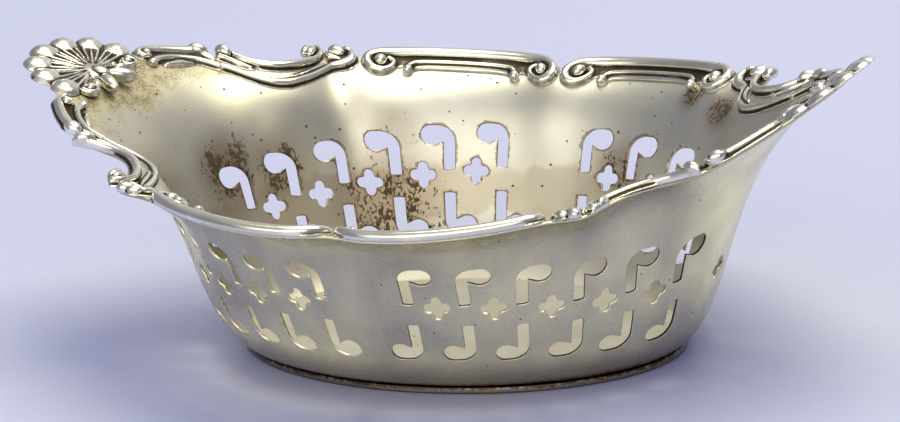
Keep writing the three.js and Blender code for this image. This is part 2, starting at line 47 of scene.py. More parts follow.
# Camera, matched to the photograph
CAMERA_PLACE = (425.4108, -896.5029, 326.7766)
CAMERA_RIGHT = (0.91014203, 0.40755806, -0.07441708)
CAMERA_UP = (-0.05530621, 0.29753781, 0.95310675)
CAMERA_BACK = (0.41058824, -0.86334679, 0.29334216)
IMAGE_WIDTH = 900
IMAGE_HEIGHT = 422
FOCAL_PIXELS = 6416.5
CENTRE_PIXEL_ROW = 211
SENSOR_WIDTH = 36
NEAR_CLIP = 50

# Sheet and foot; the sheet is drawn thinner than the solid part's, which is 0.9
SHEET = 0.6
SEAT_GAP = 0.3
SOLDER_SINK = 0.08
FOOT_HEIGHT = 1.2
FOOT_WIDTH = 2.2
FOOT_ROUNDING = 0.3
FOOT_CORNER_SHARE = 0.3
FOOT_HALF_LENGTH = 37.8
FOOT_HALF_WIDTH = 25.9

# The wall's four rings, as in the solid part
BELLY_OUT_AT_SIDE = 11.6
BELLY_OUT_AT_END = 9.2
BELLY_HEIGHT_AT_SIDE = 5
BELLY_HEIGHT_AT_END = 8
THROAT_OUT_AT_SIDE = 7.1
THROAT_OUT_AT_END = 7.2
THROAT_HEIGHT_AT_SIDE = 29
THROAT_HEIGHT_AT_LEFT = 36
THROAT_HEIGHT_AT_RIGHT = 33
RIM_OUT_AT_SIDE = 22.7
RIM_OUT_AT_END = 30.2
RIM_HEIGHT = 32.2
SHEER_RISE = 8.3
HANDLE_BEND_AT = 54
HANDLE_BEND_SPREAD = 6
HANDLE_ANGLE_LEFT = 9
HANDLE_ANGLE_RIGHT = 21.3
LEFT_TO_RIGHT_BLEND = 15
RIM_STATION_STEP = 6
RIM_STATION_SHARES = [
    (0, 0.951), (0.076, 0.996), (0.159, 1), (0.241, 0.988), (0.332, 0.955), (0.426, 0.901),
    (0.512, 0.807), (0.603, 0.833), (0.61, 0.681), (0.644, 0.566), (0.706, 0.519),
    (0.782, 0.512), (0.865, 0.428), (0.932, 0.3), (0.982, 0.156), (1, 0),
]

# Piercing
COMMAS_PER_QUARTER = 6
BELT_SHARE = 0.5
COMMA_LENGTH = 7.3
COMMA_TAIL_HALF_WIDTH = 0.95
COMMA_BEND_RADIUS = 2.9
COMMA_HEAD_RADIUS = 1.75
COMMA_HEAD_OFFSET = 2.9
COMMA_HEAD_START = 75
COMMA_HEAD_SWEEP = 200
COMMA_THROAT_DROP = 1.0
FIRST_COMMA_FROM_CENTRE = 7.5
LAST_COMMA_FROM_END = 12.8
UPPER_TAIL_HEIGHTS = (18.4, 16.4)
LOWER_TAIL_HEIGHTS = (14.5, 13)
CROSS_HEIGHTS = (17.9, 15.4)
CROSS_LOBE_RADIUS = 0.85
CROSS_LOBE_OFFSET = 1.35
CROSS_LOBE_SWEEP = 105
CUT_ROUNDING = 0.12
CUT_RIM_WIDTH = 0.18
CUT_REACH = 2.5
LIP_ROLL = 0.12
LIP_SHARE = 0.2

# How finely the bowl is divided
WALL_STEPS_AROUND = 420
WALL_STEPS_UP = 58
BEND_STEPS = 9
HEAD_STEPS = 16
LOBE_STEPS = 9
EDGE_SPACING = 0.4
FLOOR_RING_SHARES = (0.985, 0.96, 0.9, 0.78, 0.6, 0.4, 0.2)
TABLE_STEPS = 720
HEIGHT_STEPS = 400
WELD_DISTANCE = 1e-5
FLAT_SCALE = np.array([45, 40])  # millimetres to a radian and to the whole share, laid flat

# Border castings, as shares of the quarter's edge, and in millimetres
PIECE_GAP = 0.45
LONG_SCROLL_END_SHARE = 0.393
C_SCROLL_START_SHARE = 0.4635
SHOULDER_END_SHARE = 0.696
HANDLE_EDGE_END_SHARE = 0.8515
BASE_THICKNESS = 0.35
HALF_OVERLAP = 0.5
ROUND = (1, 1, 1)

# A roll's rows are along the edge, across it (outward positive), half width and crest height.
# Along counts from the casting's start or, where it is negative, back from its end.
# A flange is the low strip beside a roll: the roll's name, how many of its rows are left out at
# its start and at its end, and how much wider it is. A base is how far in from the start and
# from the end it lies, and its inner and outer edge. A knob is along, across, height, radius
# and how far it is drawn out along, across and up.
CASTINGS = {
    # One half of it: two rolls from mid-length to a big volute, the inner one down to a knob
    "long_scroll": {
        "rolls": {
            "outer": [
                (-HALF_OVERLAP, 0.1, 1.15, 1.75), (9, 0.1, 1.15, 1.75), (5.2, 0.15, 1.15, 1.75),
                (3.3, 0, 1.05, 1.75), (1.75, -0.8, 0.95, 1.65), (1.15, -2.2, 0.9, 1.5),
                (1.85, -3.8, 0.82, 1.35), (3.5, -4.5, 0.76, 1.25), (5.2, -3.9, 0.68, 1.2),
                (5.8, -2.6, 0.6, 1.2), (5, -1.5, 0.5, 1.2),
            ],
            "inner": [
                (-HALF_OVERLAP, -2.8, 0.55, 1.2), (11.2, -2.85, 0.55, 1.2), (9.2, -3.3, 0.58, 1.2),
                (8.3, -4.4, 0.62, 1.15),
            ],
            "flank": [(-HALF_OVERLAP, -3.3, 1, 0.8), (11, -3.35, 0.95, 0.75), (9, -4.1, 0.8, 0.65)],
        },
        "flanges": [("outer", 3, 0, 0.3)],
        "bases": [(4, 0, -3.7, 0.7)],
        "knobs": [(3.5, -2.2, 0.7, 1.2, ROUND), (8.4, -4.7, 0.5, 1.05, ROUND)],
    },
    # A volute whose band sweeps on inside the C-scroll, a leaf in the fork, two beads before it
    "shoulder_scroll": {
        "rolls": {
            "band": [
                (1.3, 0.1, 0.7, 1.35), (0.95, -0.7, 0.8, 1.4), (1.05, -1.9, 0.84, 1.4),
                (2.2, -3.4, 0.88, 1.3), (4.2, -4.7, 0.88, 1.2), (6.8, -5.2, 0.82, 1.15),
                (9.5, -5, 0.75, 1.1), (14, -4.5, 0.68, 1.05), (19, -4.3, 0.68, 1.05),
                (23.5, -4.1, 0.72, 1.1), (-0.2, -3.6, 0.75, 1.15),
            ],
            "crescent": [(5.6, -0.9, 0.4, 1), (5.2, -2.3, 0.65, 1.25), (3.6, -3, 0.5, 1.1)],
            "leaf": [
                (5.6, -4.3, 0.3, 0.7), (8.6, -3.9, 0.6, 0.95), (12, -3.6, 0.45, 0.85),
                (15, -3.4, 0.15, 0.5),
            ],
        },
        "flanges": [("band", 0, 0, 0.6), ("leaf", 0, 0, 0.6)],
        "bases": [(1.2, 0.2, -4.6, -0.4)],
        "knobs": [(3.5, -0.3, 0.55, 1.35, (1.2, 1.05, 0.85)), (1.5, 0.2, 0.7, 0.95, (1.2, 0.9, 0.9))],
    },
    # A thin bow in the hollow of the edge, with two beads at its start and a round knob near its end
    "c_scroll": {
        "rolls": {
            "bow": [
                (3.2, 1.5, 0.6, 1.2), (1.8, 1.4, 0.75, 1.35), (0.9, 0.5, 0.8, 1.5), (1, -0.9, 0.8, 1.55),
                (2.5, -1.8, 0.78, 1.55), (5.4, -1.5, 0.76, 1.5), (9, -0.9, 0.74, 1.45),
                (13.5, -0.4, 0.74, 1.45), (16.8, 0.2, 0.72, 1.5), (18.8, 1.3, 0.6, 1.6),
                (20.2, 2.2, 0.4, 1.5),
            ],
            "tongue": [(15.6, -1.6, 0.2, 0.7), (18.4, -1.3, 0.65, 1.2), (-0.5, -0.2, 0.5, 1.2)],
        },
        "flanges": [("bow", 2, 3, 0.55), ("tongue", 0, 0, 0.4)],
        "bases": [],
        "knobs": [
            (3.7, 1.5, 0.7, 1.2, (1.3, 0.9, 0.95)), (2.6, 0.7, 0.6, 1.15, (1.2, 1, 0.95)),
            (19.8, 1, 1.1, 1.35, ROUND),
        ],
    },
    # An oval knob, a double roll up the handle, and a curled leaf beside the shell
    "handle_edge": {
        "rolls": {
            "outer": [
                (0.3, -1.9, 0.5, 1.1), (2.2, 0, 0.9, 1.6), (5, 0.15, 0.95, 1.55), (9, 0.2, 0.9, 1.5),
                (-2.2, 0.1, 0.8, 1.4), (-0.7, -0.7, 0.62, 1.3), (-0.9, -1.9, 0.5, 1.2),
                (-2, -2.1, 0.4, 1.1),
            ],
            "inner": [
                (0.1, -3.7, 0.68, 1.12), (2.4, -2.9, 0.7, 1.15), (5, -2.45, 0.65, 1.15),
                (8.5, -2.5, 0.6, 1.15), (-3.2, -2.9, 0.65, 1.15), (-1.2, -3.9, 0.7, 1.2),
            ],
            "leaf": [(4.6, -3.6, 0.2, 0.6), (7.2, -3.9, 0.7, 0.9), (-3.6, -4.6, 0.35, 0.8)],
        },
        "flanges": [("outer", 0, 0, 0.45), ("inner", 0, 0, 0.45), ("leaf", 0, 0, 0.3)],
        "bases": [(1.2, 1.4, -2.6, 0.5)],
        "knobs": [
            (2, 0.4, 1.1, 1.2, (1.4, 1, 1)), (-2, -1.1, 0.8, 0.75, ROUND),
            (-1, -4.2, 0.6, 0.85, ROUND),
        ],
    },
}

# Shells, laid flat: X out along the handle, Y to its side, Z up from the sheet; hub and knob as above
SHELL_OVERHANGS = {"left": 7, "right": 5.6}
SHELL_NOSE_UP = {"left": 0, "right": 4.5}
SHELL_REAR_UP = {"left": 3.5, "right": 0}
SHELL_RADIUS = 11.4
SHELL_LOBES = 7
SHELL_SPREAD = 205
SHELL_SINK = 0.2
SHELL_SKIN = 0.5
# Lowers the shells' hollowness, so their lobes get less tarnish and painted shade
SHELL_HOLLOW_SHIFT = -0.01
LOBE_RADIUS = 2.5
LOBE_DRAWN_OUT = (0.98, 0.98, 0.45)
LOBE_HEIGHT = 0.3
LOBE_CREST = (0.8, 1.5, (1.1, 1, 0.5))  # height, radius, drawn out
LOBE_CREST_FURTHER_OUT = 0.2
WEB_SHARES = (0.1, 0.5, 1)
WEB_HALF_WIDTH = 0.3
WEB_HEIGHT = 0.6
RIDGES = [(-0.62, 0.95), (0, 1.1), (0.62, 0.95)]  # share of the lobe's radius to one side, crest height
RIDGE_SHARES = (0.15, 0.4, 0.7, 0.95)
RIDGE_HALF_WIDTHS = (0.14, 0.36)
RIDGE_START_SHARE = 0.75
HUB = (0, 0, 0.2, 2.6, (1, 1, 0.3))
HUB_KNOB = (-1.4, 0, 0.6, 1.2, (1.3, 0.9, 0.7))
CURL_PLACE = (-3, 6.6)
CURL_TURNS = range(60, 361, 60)
CURL_RADII = (1.5, 0.9)
CURL_ROLL = (0.45, 1)
CURL_KNOBS = [(0.7, 0.65, (1, 1, 0.9)), (0.2, 1.8, (1, 1, 0.25))]  # height, radius, drawn out
SHELL_LEAF_HEIGHT = 0.45
SHELL_LEAF_DRAWN_OUT = (0.8, 0.7)
SHELL_LEAVES = [(-4.2, 2.1, 1.35, 1.9, 32), (-3, 4.3, 0.9, 1.4, 60)]  # along, across, radius, length, turn

# How the castings are made; a roll's middle line stands at a share of its height, its seat
ROLL_SPACING = 0.35
ROLL_SIDES = 14
ROLL_CAP_STEPS = 4
ROLL_CAP_FROM = 80
ROLL_SEAT_SHARE = 0.4
THINNEST_ROLL = (0.05, 0.1)
BEAD_SIDES = 20
CASTING_VOXEL = 0.17
SHELL_VOXEL = 0.16
SKIN_SMOOTHING = 3
HOLLOW_ROUNDS = 24
HOLLOW_SHARE = 0.6

QUARTERS = {
    "rear_right": (1, 1),
    "rear_left": (-1, 1),
    "front_left": (-1, -1),
    "front_right": (1, -1),
}
ENDS = {"left": -1, "right": 1}

# Colours
SILVER_INSIDE = (0.585, 0.58, 0.56, 1)
SILVER_OUTSIDE = (1, 0.935, 0.565, 1)
SILVER_BRIGHT = (0.96, 0.945, 0.9, 1)
SMOKED = (0.66, 0.6, 0.46, 1)
DULLED = (0.36, 0.345, 0.315, 1)
WORN_FLOOR = (0.47, 0.465, 0.455, 1)
OLIVE = (0.26, 0.22, 0.125, 1)
BROWN = (0.24, 0.16, 0.085, 1)
COPPER = (0.42, 0.23, 0.12, 1)
DULL_FOOT = (0.22, 0.205, 0.18, 1)
CRUST = (0.08, 0.052, 0.03, 1)
BLACK_DIRT_AND_SHADE = (0.05, 0.036, 0.024, 1)
WHITE = (1, 1, 1, 1)

# Where a tone begins and where it is full, in millimetres: away from mid-length, above the table,
# away from the nearest cut, and for the hollows, how far a surface lies below its surroundings
SMOKE_FROM_MIDDLE = (15, 50)
OLIVE_FROM_MIDDLE = (44, 63)
OLIVE_HEIGHTS = (30, 42)
SKIRT_HEIGHTS = (9, 1.5)
WORN_HEIGHTS = (13.5, 4)
BELT_TOP_HEIGHTS = (21.5, 16.5)
BELT_FOOT_HEIGHTS = (9, 13)
FOOT_TOP_HEIGHTS = (0.4, 1)
CUT_DIRT_AND_SHADE_REACH = 0.8
# The flank and deep hollow limits set where the castings darken: partly tarnish, partly painted shade
FLANK_HOLLOWS = (-0.07, 0.01)
DEEP_HOLLOWS = (-0.035, 0.02)
CAKED_FULL_SHARE = 0.25
CAKED_PLACES = [
    # place, reach, how thick
    ((34, 33.5, 30), 5.2, 0.85),
    ((27, 38.4, 31.2), 4.2, 0.85),
    ((-25.5, 28.2, 12.8), 14, 0.72),
    ((-25.5, 33, 24.5), 7, 0.42),
    ((-46.4, 9.5, 23.2), 9.5, 0.85),
    ((-41.5, 18.5, 21.5), 8.5, 0.68),
    ((14, 35, 19), 6.5, 0.7),
]
TARNISH_EDGE = 0.78
CRUST_EDGE = 0.72
SPECK_RAGGEDNESS = 0.12
WIPING_MARKS = ((1, 1, 9), (0.3, 0.1, 0.4))  # how much finer along each axis, and how they are turned
BOWL_BUMP = 0.9
CASTING_BUMP = 0.5
FOOT_BUMP = 0.4

# Floor and light
FLOOR_COLOUR = (0.625, 0.635, 0.695, 1)
FLOOR_HALF_SIZE = 3000
FLOOR_ROUGHNESS = 0.35
FLOOR_SHINE = 0.35
FILL_COLOUR = (0.165, 0.215, 0.68, 1)
ROOM_COLOUR = (0.84, 0.83, 0.79, 1)
ROOM_SIDE_COLOUR = (0.3, 0.3, 0.33, 1)
ROOM_SIDE_FROM_TO = (0.6, 1.2)
LAMP_TARGET = (0, 0, 20)
LAMPS = [
    # name, place, width, depth, power in watts, colour
    ("overhead", (120, 240, 1150), 1100, 750, 12.5, (1, 0.97, 0.7)),
    ("front", (100, -1400, 900), 2400, 1000, 10.5, (1, 0.95, 0.74)),
]


# The sheet: a surface over the angle round the dish and the share of the way up the wall

RIM_HALF_LENGTH = FOOT_HALF_LENGTH + RIM_OUT_AT_END
RIM_HALF_WIDTH = FOOT_HALF_WIDTH + RIM_OUT_AT_SIDE


def mix(a, b, share):
    return a + (b - a) * share


def unit(vectors):
    return vectors / np.linalg.norm(vectors, axis=-1, keepdims=True)


def left_to_right(left, right, x):
    return mix(left, right, (1 + np.tanh(x / LEFT_TO_RIGHT_BLEND)) / 2)


def station_loop():
    quarter = np.array(RIM_STATION_SHARES) * [RIM_HALF_LENGTH, RIM_HALF_WIDTH]
    inward = quarter[::-1][:-1]
    outward = quarter[:-1]
    return np.concatenate([inward, outward * [-1, 1], inward * [-1, -1], outward * [1, -1]])


STATIONS = station_loop()


def rim_height(x):
    left, right = math.radians(HANDLE_ANGLE_LEFT), math.radians(HANDLE_ANGLE_RIGHT)
    slope = np.tan(left_to_right(left, right, x))
    past = np.abs(x) - HANDLE_BEND_AT
    lift = slope * (np.hypot(past, HANDLE_BEND_SPREAD) + past) / 2
    return RIM_HEIGHT + SHEER_RISE * (x / RIM_HALF_LENGTH) ** 2 + lift


def rim_point(angle):
    """The bowl's edge: a smooth closed curve led by the stations."""
    place = np.asarray(angle, float) / math.radians(RIM_STATION_STEP)
    index = np.floor(place).astype(int)
    t = (place - index)[..., None]
    weights = [(1 - t) ** 3, 3 * t ** 3 - 6 * t ** 2 + 4, -3 * t ** 3 + 3 * t ** 2 + 3 * t + 1, t ** 3]
    plan = sum(w * STATIONS[(index + k - 1) % len(STATIONS)] for k, w in enumerate(weights)) / 6
    return np.concatenate([plan, rim_height(plan[..., :1])], -1)


def oval_point(out_at_end, out_at_side, angle, height):
    x = (FOOT_HALF_LENGTH + out_at_end) * np.cos(angle)
    y = (FOOT_HALF_WIDTH + out_at_side) * np.sin(angle)
    return np.stack([x, y, np.broadcast_to(height, x.shape)], -1)


def wall_point(angle, share):
    """A point of the sheet's outside: foot, belly, throat and rim lead a curve up the wall."""
    angle, share = np.broadcast_arrays(np.asarray(angle, float), np.asarray(share, float))
    end = np.cos(angle) ** 2
    throat_x = (FOOT_HALF_LENGTH + THROAT_OUT_AT_END) * np.cos(angle)
    throat_end = left_to_right(THROAT_HEIGHT_AT_LEFT, THROAT_HEIGHT_AT_RIGHT, throat_x)
    foot = oval_point(0, 0, angle, FOOT_HEIGHT + SEAT_GAP)
    belly_height = mix(BELLY_HEIGHT_AT_SIDE, BELLY_HEIGHT_AT_END, end)
    belly = oval_point(BELLY_OUT_AT_END, BELLY_OUT_AT_SIDE, angle, belly_height)
    throat_height = mix(THROAT_HEIGHT_AT_SIDE, throat_end, end)
    throat = oval_point(THROAT_OUT_AT_END, THROAT_OUT_AT_SIDE, angle, throat_height)
    s = share[..., None]
    start = (1 - s) ** 3 * foot + 3 * (1 - s) ** 2 * s * belly
    return start + 3 * (1 - s) * s * s * throat + s ** 3 * rim_point(angle)


def wall_slopes(angle, share):
    """How the wall runs round and up, and the direction into the bowl, square to both."""
    small_angle, small_share = math.radians(0.05), 0.001
    around = wall_point(angle + small_angle, share) - wall_point(angle - small_angle, share)
    up = wall_point(angle, share + small_share) - wall_point(angle, share - small_share)
    around, up = around / (2 * small_angle), up / (2 * small_share)
    return around, up, unit(np.cross(up, around))


def share_at_height(angle, height):
    shares = np.linspace(0, 1, HEIGHT_STEPS)
    heights = wall_point(np.full_like(shares, angle), shares)[:, 2]
    return float(np.interp(height, heights, shares))


def quarter_table(points):
    """How far along the line each of its points lies, seen from above."""
    steps = np.linalg.norm(np.diff(points[:, :2], axis=0), axis=1)
    return np.concatenate([[0], np.cumsum(steps)])


TABLE_ANGLES = np.radians(np.linspace(90, 0, TABLE_STEPS + 1))
EDGE_TABLE = quarter_table(rim_point(TABLE_ANGLES))
BELT_TABLE = quarter_table(wall_point(TABLE_ANGLES, BELT_SHARE))


def in_quarter(angle, quarter):
    """An angle of the rear right quarter, turned over into another quarter."""
    return np.arctan2(np.sin(angle) * quarter[1], np.cos(angle) * quarter[0])


def on_sheet(quarter, flat):
    """Points given along the edge, across it and above the sheet, laid on one quarter of the rim."""
    angle = in_quarter(np.interp(flat[:, 0], EDGE_TABLE, TABLE_ANGLES), quarter)
    rise = np.linalg.norm(wall_slopes(angle, np.ones_like(angle))[1], axis=-1)
    share = 1 + flat[:, 1] / rise
    inward = wall_slopes(angle, share)[2]
    return wall_point(angle, share) + inward * (SHEET - SOLDER_SINK + flat[:, 2:])


# Meshes

def linked(name, data):
    thing = bpy.data.objects.new(name, data)
    bpy.context.collection.objects.link(thing)
    return thing


def mesh_object(name, points, faces, normals=None, **values):
    """A smooth mesh from millimetres, with one value a point under each further name."""
    mesh = bpy.data.meshes.new(name)
    mesh.from_pydata((np.asarray(points) * METRE).tolist(), [], [list(face) for face in faces])
    mesh.polygons.foreach_set("use_smooth", [True] * len(mesh.polygons))
    if normals is not None:
        mesh.normals_split_custom_set_from_vertices(np.asarray(normals).tolist())
    mesh.update()
    for value_name, numbers in values.items():
        attribute = mesh.attributes.new(value_name, "FLOAT", "POINT")
        attribute.data.foreach_set("value", np.ascontiguousarray(numbers, dtype=np.float32))
    return linked(name, mesh)


def ring_faces(size, rings):
    """The faces between rings of points, each ring as long as size."""
    faces = []
    for start in range(0, (rings - 1) * size, size):
        for column in range(size):
            a, b = start + column, start + (column + 1) % size
            faces.append((a, b, b + size, a + size))
    return faces


def joined(forms):
    """The points of all the forms, and their faces counted on from form to form."""
    starts = np.cumsum([0] + [len(points) for points, _ in forms[:-1]])
    faces = [[index + start for index in face] for (_, part), start in zip(forms, starts) for face in part]
    return np.concatenate([points for points, _ in forms]), faces


# Piercing outlines, in millimetres along and up the sheet

def arc(x, y, radius, start, end, steps):
    turns = np.radians(np.linspace(start, end, steps + 1))
    return np.stack([x + radius * np.cos(turns), y + radius * np.sin(turns)], -1)


def comma_outline():
    head_height = COMMA_LENGTH - COMMA_HEAD_RADIUS
    bend_x, bend_height = COMMA_BEND_RADIUS - COMMA_TAIL_HALF_WIDTH, COMMA_LENGTH - COMMA_BEND_RADIUS
    head_end = COMMA_HEAD_START - COMMA_HEAD_SWEEP
    return np.concatenate([
        [[COMMA_TAIL_HALF_WIDTH, 0], [0, -CUT_ROUNDING], [-COMMA_TAIL_HALF_WIDTH, 0]],
        arc(bend_x, bend_height, COMMA_BEND_RADIUS, 180, 90, BEND_STEPS),
        arc(COMMA_HEAD_OFFSET, head_height, COMMA_HEAD_RADIUS, COMMA_HEAD_START, head_end, HEAD_STEPS),
        [[COMMA_TAIL_HALF_WIDTH, head_height - COMMA_THROAT_DROP]],
    ])


def cross_outline():
    lobes = []
    for turn in (0, 90, 180, 270):
        x = CROSS_LOBE_OFFSET * math.cos(math.radians(turn))
        y = CROSS_LOBE_OFFSET * math.sin(math.radians(turn))
        start, end = turn - CROSS_LOBE_SWEEP, turn + CROSS_LOBE_SWEEP
        lobes.append(arc(x, y, CROSS_LOBE_RADIUS, start, end, LOBE_STEPS))
    return np.concatenate(lobes)


def spaced(outline):
    """The outline with long sides divided and near-double points dropped."""
    points = []
    for start, end in zip(outline, np.roll(outline, -1, axis=0)):
        length = np.linalg.norm(end - start)
        if length < EDGE_SPACING / 8:
            continue
        steps = max(1, round(length / EDGE_SPACING))
        points.extend(mix(start, end, k / steps) for k in range(steps))
    return np.array(points)


def grown(outline, distance):
    """The outline moved outward, corners mitred no further than twice the distance."""
    ahead = unit(np.roll(outline, -1, axis=0) - outline)
    behind = np.roll(ahead, 1, axis=0)
    area = np.sum(outline[:, 0] * np.roll(outline[:, 1], -1) - outline[:, 1] * np.roll(outline[:, 0], -1))
    side = 1 if area > 0 else -1
    out_ahead = np.stack([ahead[:, 1], -ahead[:, 0]], -1) * side
    out_behind = np.stack([behind[:, 1], -behind[:, 0]], -1) * side
    out = unit(out_ahead + out_behind)
    reach = 1 / np.clip(np.sum(out * out_ahead, axis=1, keepdims=True), 0.5, 1)
    return outline + out * distance * reach


def pierced_places():
    """Outline, angle, share and the two mirrorings of each hole."""
    spread = np.linspace(FIRST_COMMA_FROM_CENTRE, BELT_TABLE[-1] - LAST_COMMA_FROM_END, COMMAS_PER_QUARTER)
    commas = np.interp(spread, BELT_TABLE, TABLE_ANGLES)
    comma, cross = comma_outline(), cross_outline()
    places = []

    def pierce(outline, plain, quarter, heights, x_sign=1, y_sign=1):
        angle = float(in_quarter(plain, quarter))
        share = share_at_height(angle, mix(*heights, math.cos(plain) ** 2))
        places.append((outline, angle, share, x_sign, y_sign))

    for quarter in QUARTERS.values():
        hand = -quarter[0] * quarter[1]
        for plain in commas:
            pierce(comma, plain, quarter, UPPER_TAIL_HEIGHTS, hand, 1)
            pierce(comma, plain, quarter, LOWER_TAIL_HEIGHTS, -hand, -1)
        for plain in (commas[1:] + commas[:-1]) / 2:
            pierce(cross, plain, quarter, CROSS_HEIGHTS)
    for way in (1, -1):
        pierce(cross, 0, (way, 1), CROSS_HEIGHTS)
    return places


# The bowl: one sheet, triangulated round its holes, with an outside, an inside and cut edges

SEAM = -math.pi / 2
WALL_ANGLES = SEAM + 2 * math.pi * np.arange(WALL_STEPS_AROUND) / WALL_STEPS_AROUND
FLOOR_TOP = FOOT_HEIGHT + SEAT_GAP + SHEET


def hole_outlines():
    """For each hole, its cut outline and the one just outside it, as angle and share; then the
    cut in millimetres, and what scales it and places it on the wall."""
    holes = []
    for outline, angle, share, x_sign, y_sign in pierced_places():
        around, up, _ = wall_slopes(np.array([angle]), np.array([share]))
        scale = np.array([x_sign / np.linalg.norm(around), y_sign / np.linalg.norm(up)])
        centre = np.array([(angle - SEAM) % (2 * math.pi) + SEAM, share])
        cut = spaced(outline)
        holes.append((cut * scale + centre, grown(cut, CUT_RIM_WIDTH) * scale + centre, cut, scale, centre))
    return holes


def distance_and_within(points, outline):
    """Each point's distance to a closed outline, and whether it lies within it."""
    start, end = outline, np.roll(outline, -1, axis=0)
    run = end - start
    rel = points[:, None, :] - start[None]
    t = np.clip(np.sum(rel * run, -1) / np.maximum(np.sum(run * run, -1), 1e-9), 0, 1)
    distance = np.linalg.norm(rel - t[..., None] * run, axis=-1).min(axis=1)
    x, y = points[:, :1], points[:, 1:]
    crosses = (start[:, 1] > y) != (end[:, 1] > y)
    at = start[:, 0] + (y - start[:, 1]) / np.where(run[:, 1] == 0, 1, run[:, 1]) * run[:, 0]
    return distance, np.sum(crosses & (x < at), axis=1) % 2 == 1


def wall_grid(holes):
    """Grid points of the wall clear of the holes, with each one's distance to the nearest cut."""
    angles = SEAM + 2 * math.pi * np.arange(WALL_STEPS_AROUND + 1) / WALL_STEPS_AROUND
    shares = np.linspace(0, 1, WALL_STEPS_UP + 1)
    grid = np.stack(np.meshgrid(angles, shares, indexing="ij"), -1).reshape(-1, 2)
    nearest = np.full(len(grid), CUT_REACH)
    keep = np.ones(len(grid), bool)
    for _, _, cut, scale, centre in holes:
        flat = (grid - centre) / scale
        near = np.nonzero(np.max(np.abs(flat), axis=1) < COMMA_LENGTH + 2 * CUT_REACH)[0]
        distance, within = distance_and_within(flat[near], cut)
        keep[near[within | (distance < CUT_RIM_WIDTH + EDGE_SPACING / 2)]] = False
        nearest[near] = np.minimum(nearest[near], distance)
    return grid[keep], nearest[keep]


def triangulated_wall():
    """Points (angle, share), their triangles, distance to a cut, the cut outlines as index lists."""
    holes = hole_outlines()
    grid, nearest = wall_grid(holes)
    points, edges, distances, loops = [grid], [], [nearest], []
    count = len(grid)
    for cut, ring, *_ in holes:
        for outline, distance in ((cut, 0), (ring, CUT_RIM_WIDTH)):
            size = len(outline)
            edges.extend((count + k, count + (k + 1) % size) for k in range(size))
            if distance == 0:
                loops.append(list(range(count, count + size)))
            points.append(outline)
            distances.append(np.full(size, distance))
            count += size
    points, distances = np.concatenate(points), np.concatenate(distances)
    flat = [Vector(point) for point in points * FLAT_SCALE]
    found, _, faces, origins, *_ = delaunay_2d_cdt(flat, edges, [], 0, WELD_DISTANCE)
    assert len(found) == len(points)
    back = np.array([origin[0] for origin in origins])
    triangles = back[np.array([list(face) for face in faces])]
    owner = np.full(len(points), -1)
    for number, loop in enumerate(loops):
        owner[loop] = number
    first, second, third = owner[triangles].T
    in_hole = (first >= 0) & (first == second) & (first == third)
    return points, triangles[~in_hole], distances, loops


def sheet_form(points, normals, inside, cut, faces):
    """Rows of place, normal, whether it is inside and the distance to a cut, and their faces."""
    size = len(points)
    inside, cut = np.broadcast_to(inside, size), np.broadcast_to(cut, size)
    return np.column_stack([points, unit(np.broadcast_to(normals, (size, 3))), inside, cut]), faces


def hole_lean(points, loops, around, up):
    """At a cut, the direction in the sheet that points into the hole."""
    lean = np.zeros((len(points), 3))
    for loop in loops:
        flat, a, u = points[loop], around[loop], up[loop]
        ahead = np.roll(flat, -1, axis=0) - np.roll(flat, 1, axis=0)
        side = unit(np.cross(a * ahead[:, :1] + u * ahead[:, 1:], np.cross(a, u)))
        places = wall_point(*flat.T)
        lean[loop] = side * np.sign(np.sum(side * (places.mean(axis=0) - places)))
    return lean


def wall_form():
    """The pierced wall: its outside, its inside and the cut edges between them."""
    points, triangles, distances, loops = triangulated_wall()
    around, up, inward = wall_slopes(*points.T)
    base, cut, size = wall_point(*points.T), (distances == 0)[:, None], len(points)
    rounding = np.where(cut, CUT_ROUNDING, 0)
    outside, inside = base + inward * rounding, base + inward * (SHEET - rounding)
    inside[:, 2] = np.maximum(inside[:, 2], FLOOR_TOP)
    faces = triangles.tolist() + (triangles[:, ::-1] + size).tolist()
    for loop in loops:
        faces += [(a, b, b + size, a + size) for a, b in zip(loop, loop[1:] + loop[:1])]
    lean = hole_lean(points, loops, around, up)
    return sheet_form(np.concatenate([outside, inside]), np.concatenate([lean - inward, lean + inward]),
                      np.repeat([0, 1], size), np.tile(distances, 2), faces)


def lip_form():
    """The rolled-over edge of the sheet."""
    _, up, inward = wall_slopes(WALL_ANGLES, np.ones_like(WALL_ANGLES))
    edge, out = wall_point(WALL_ANGLES, 1), unit(up)
    rows = [(0, 0, -inward), (LIP_ROLL, LIP_SHARE, out - inward), (LIP_ROLL, 1 - LIP_SHARE, out + inward),
            (0, 1, inward)]
    points = np.concatenate([edge + out * reach + inward * SHEET * depth for reach, depth, _ in rows])
    normals = np.concatenate([normal for *_, normal in rows])
    return sheet_form(points, normals, 0, CUT_REACH, ring_faces(WALL_STEPS_AROUND, len(rows)))


def floor_form(way):
    """The floor seen from inside the bowl where way is 1, its underside where it is -1."""
    rim = wall_point(WALL_ANGLES, 0)
    if way == 1:
        rim = rim + wall_slopes(WALL_ANGLES, np.zeros_like(WALL_ANGLES))[2] * SHEET
        rim[:, 2] = FLOOR_TOP
    rings = [rim * [share, share, 1] for share in (1, *FLOOR_RING_SHARES)]
    points = np.concatenate(rings + [[[0, 0, rim[0, 2]]]])
    middle = len(points) - 1
    last = middle - WALL_STEPS_AROUND
    faces = ring_faces(WALL_STEPS_AROUND, len(rings))
    faces += [(last + k, last + (k + 1) % WALL_STEPS_AROUND, middle) for k in range(WALL_STEPS_AROUND)]
    return sheet_form(points, (0, 0, way), way == 1, CUT_REACH, [face[::way] for face in faces])


def bowl():
    rows, faces = joined([wall_form(), lip_form(), floor_form(-1), floor_form(1)])
    return mesh_object("silver_bowl", rows[:, :3], faces, rows[:, 3:6], inside=rows[:, 6], cut=rows[:, 7])


# The foot: a flat wire bent to an oval

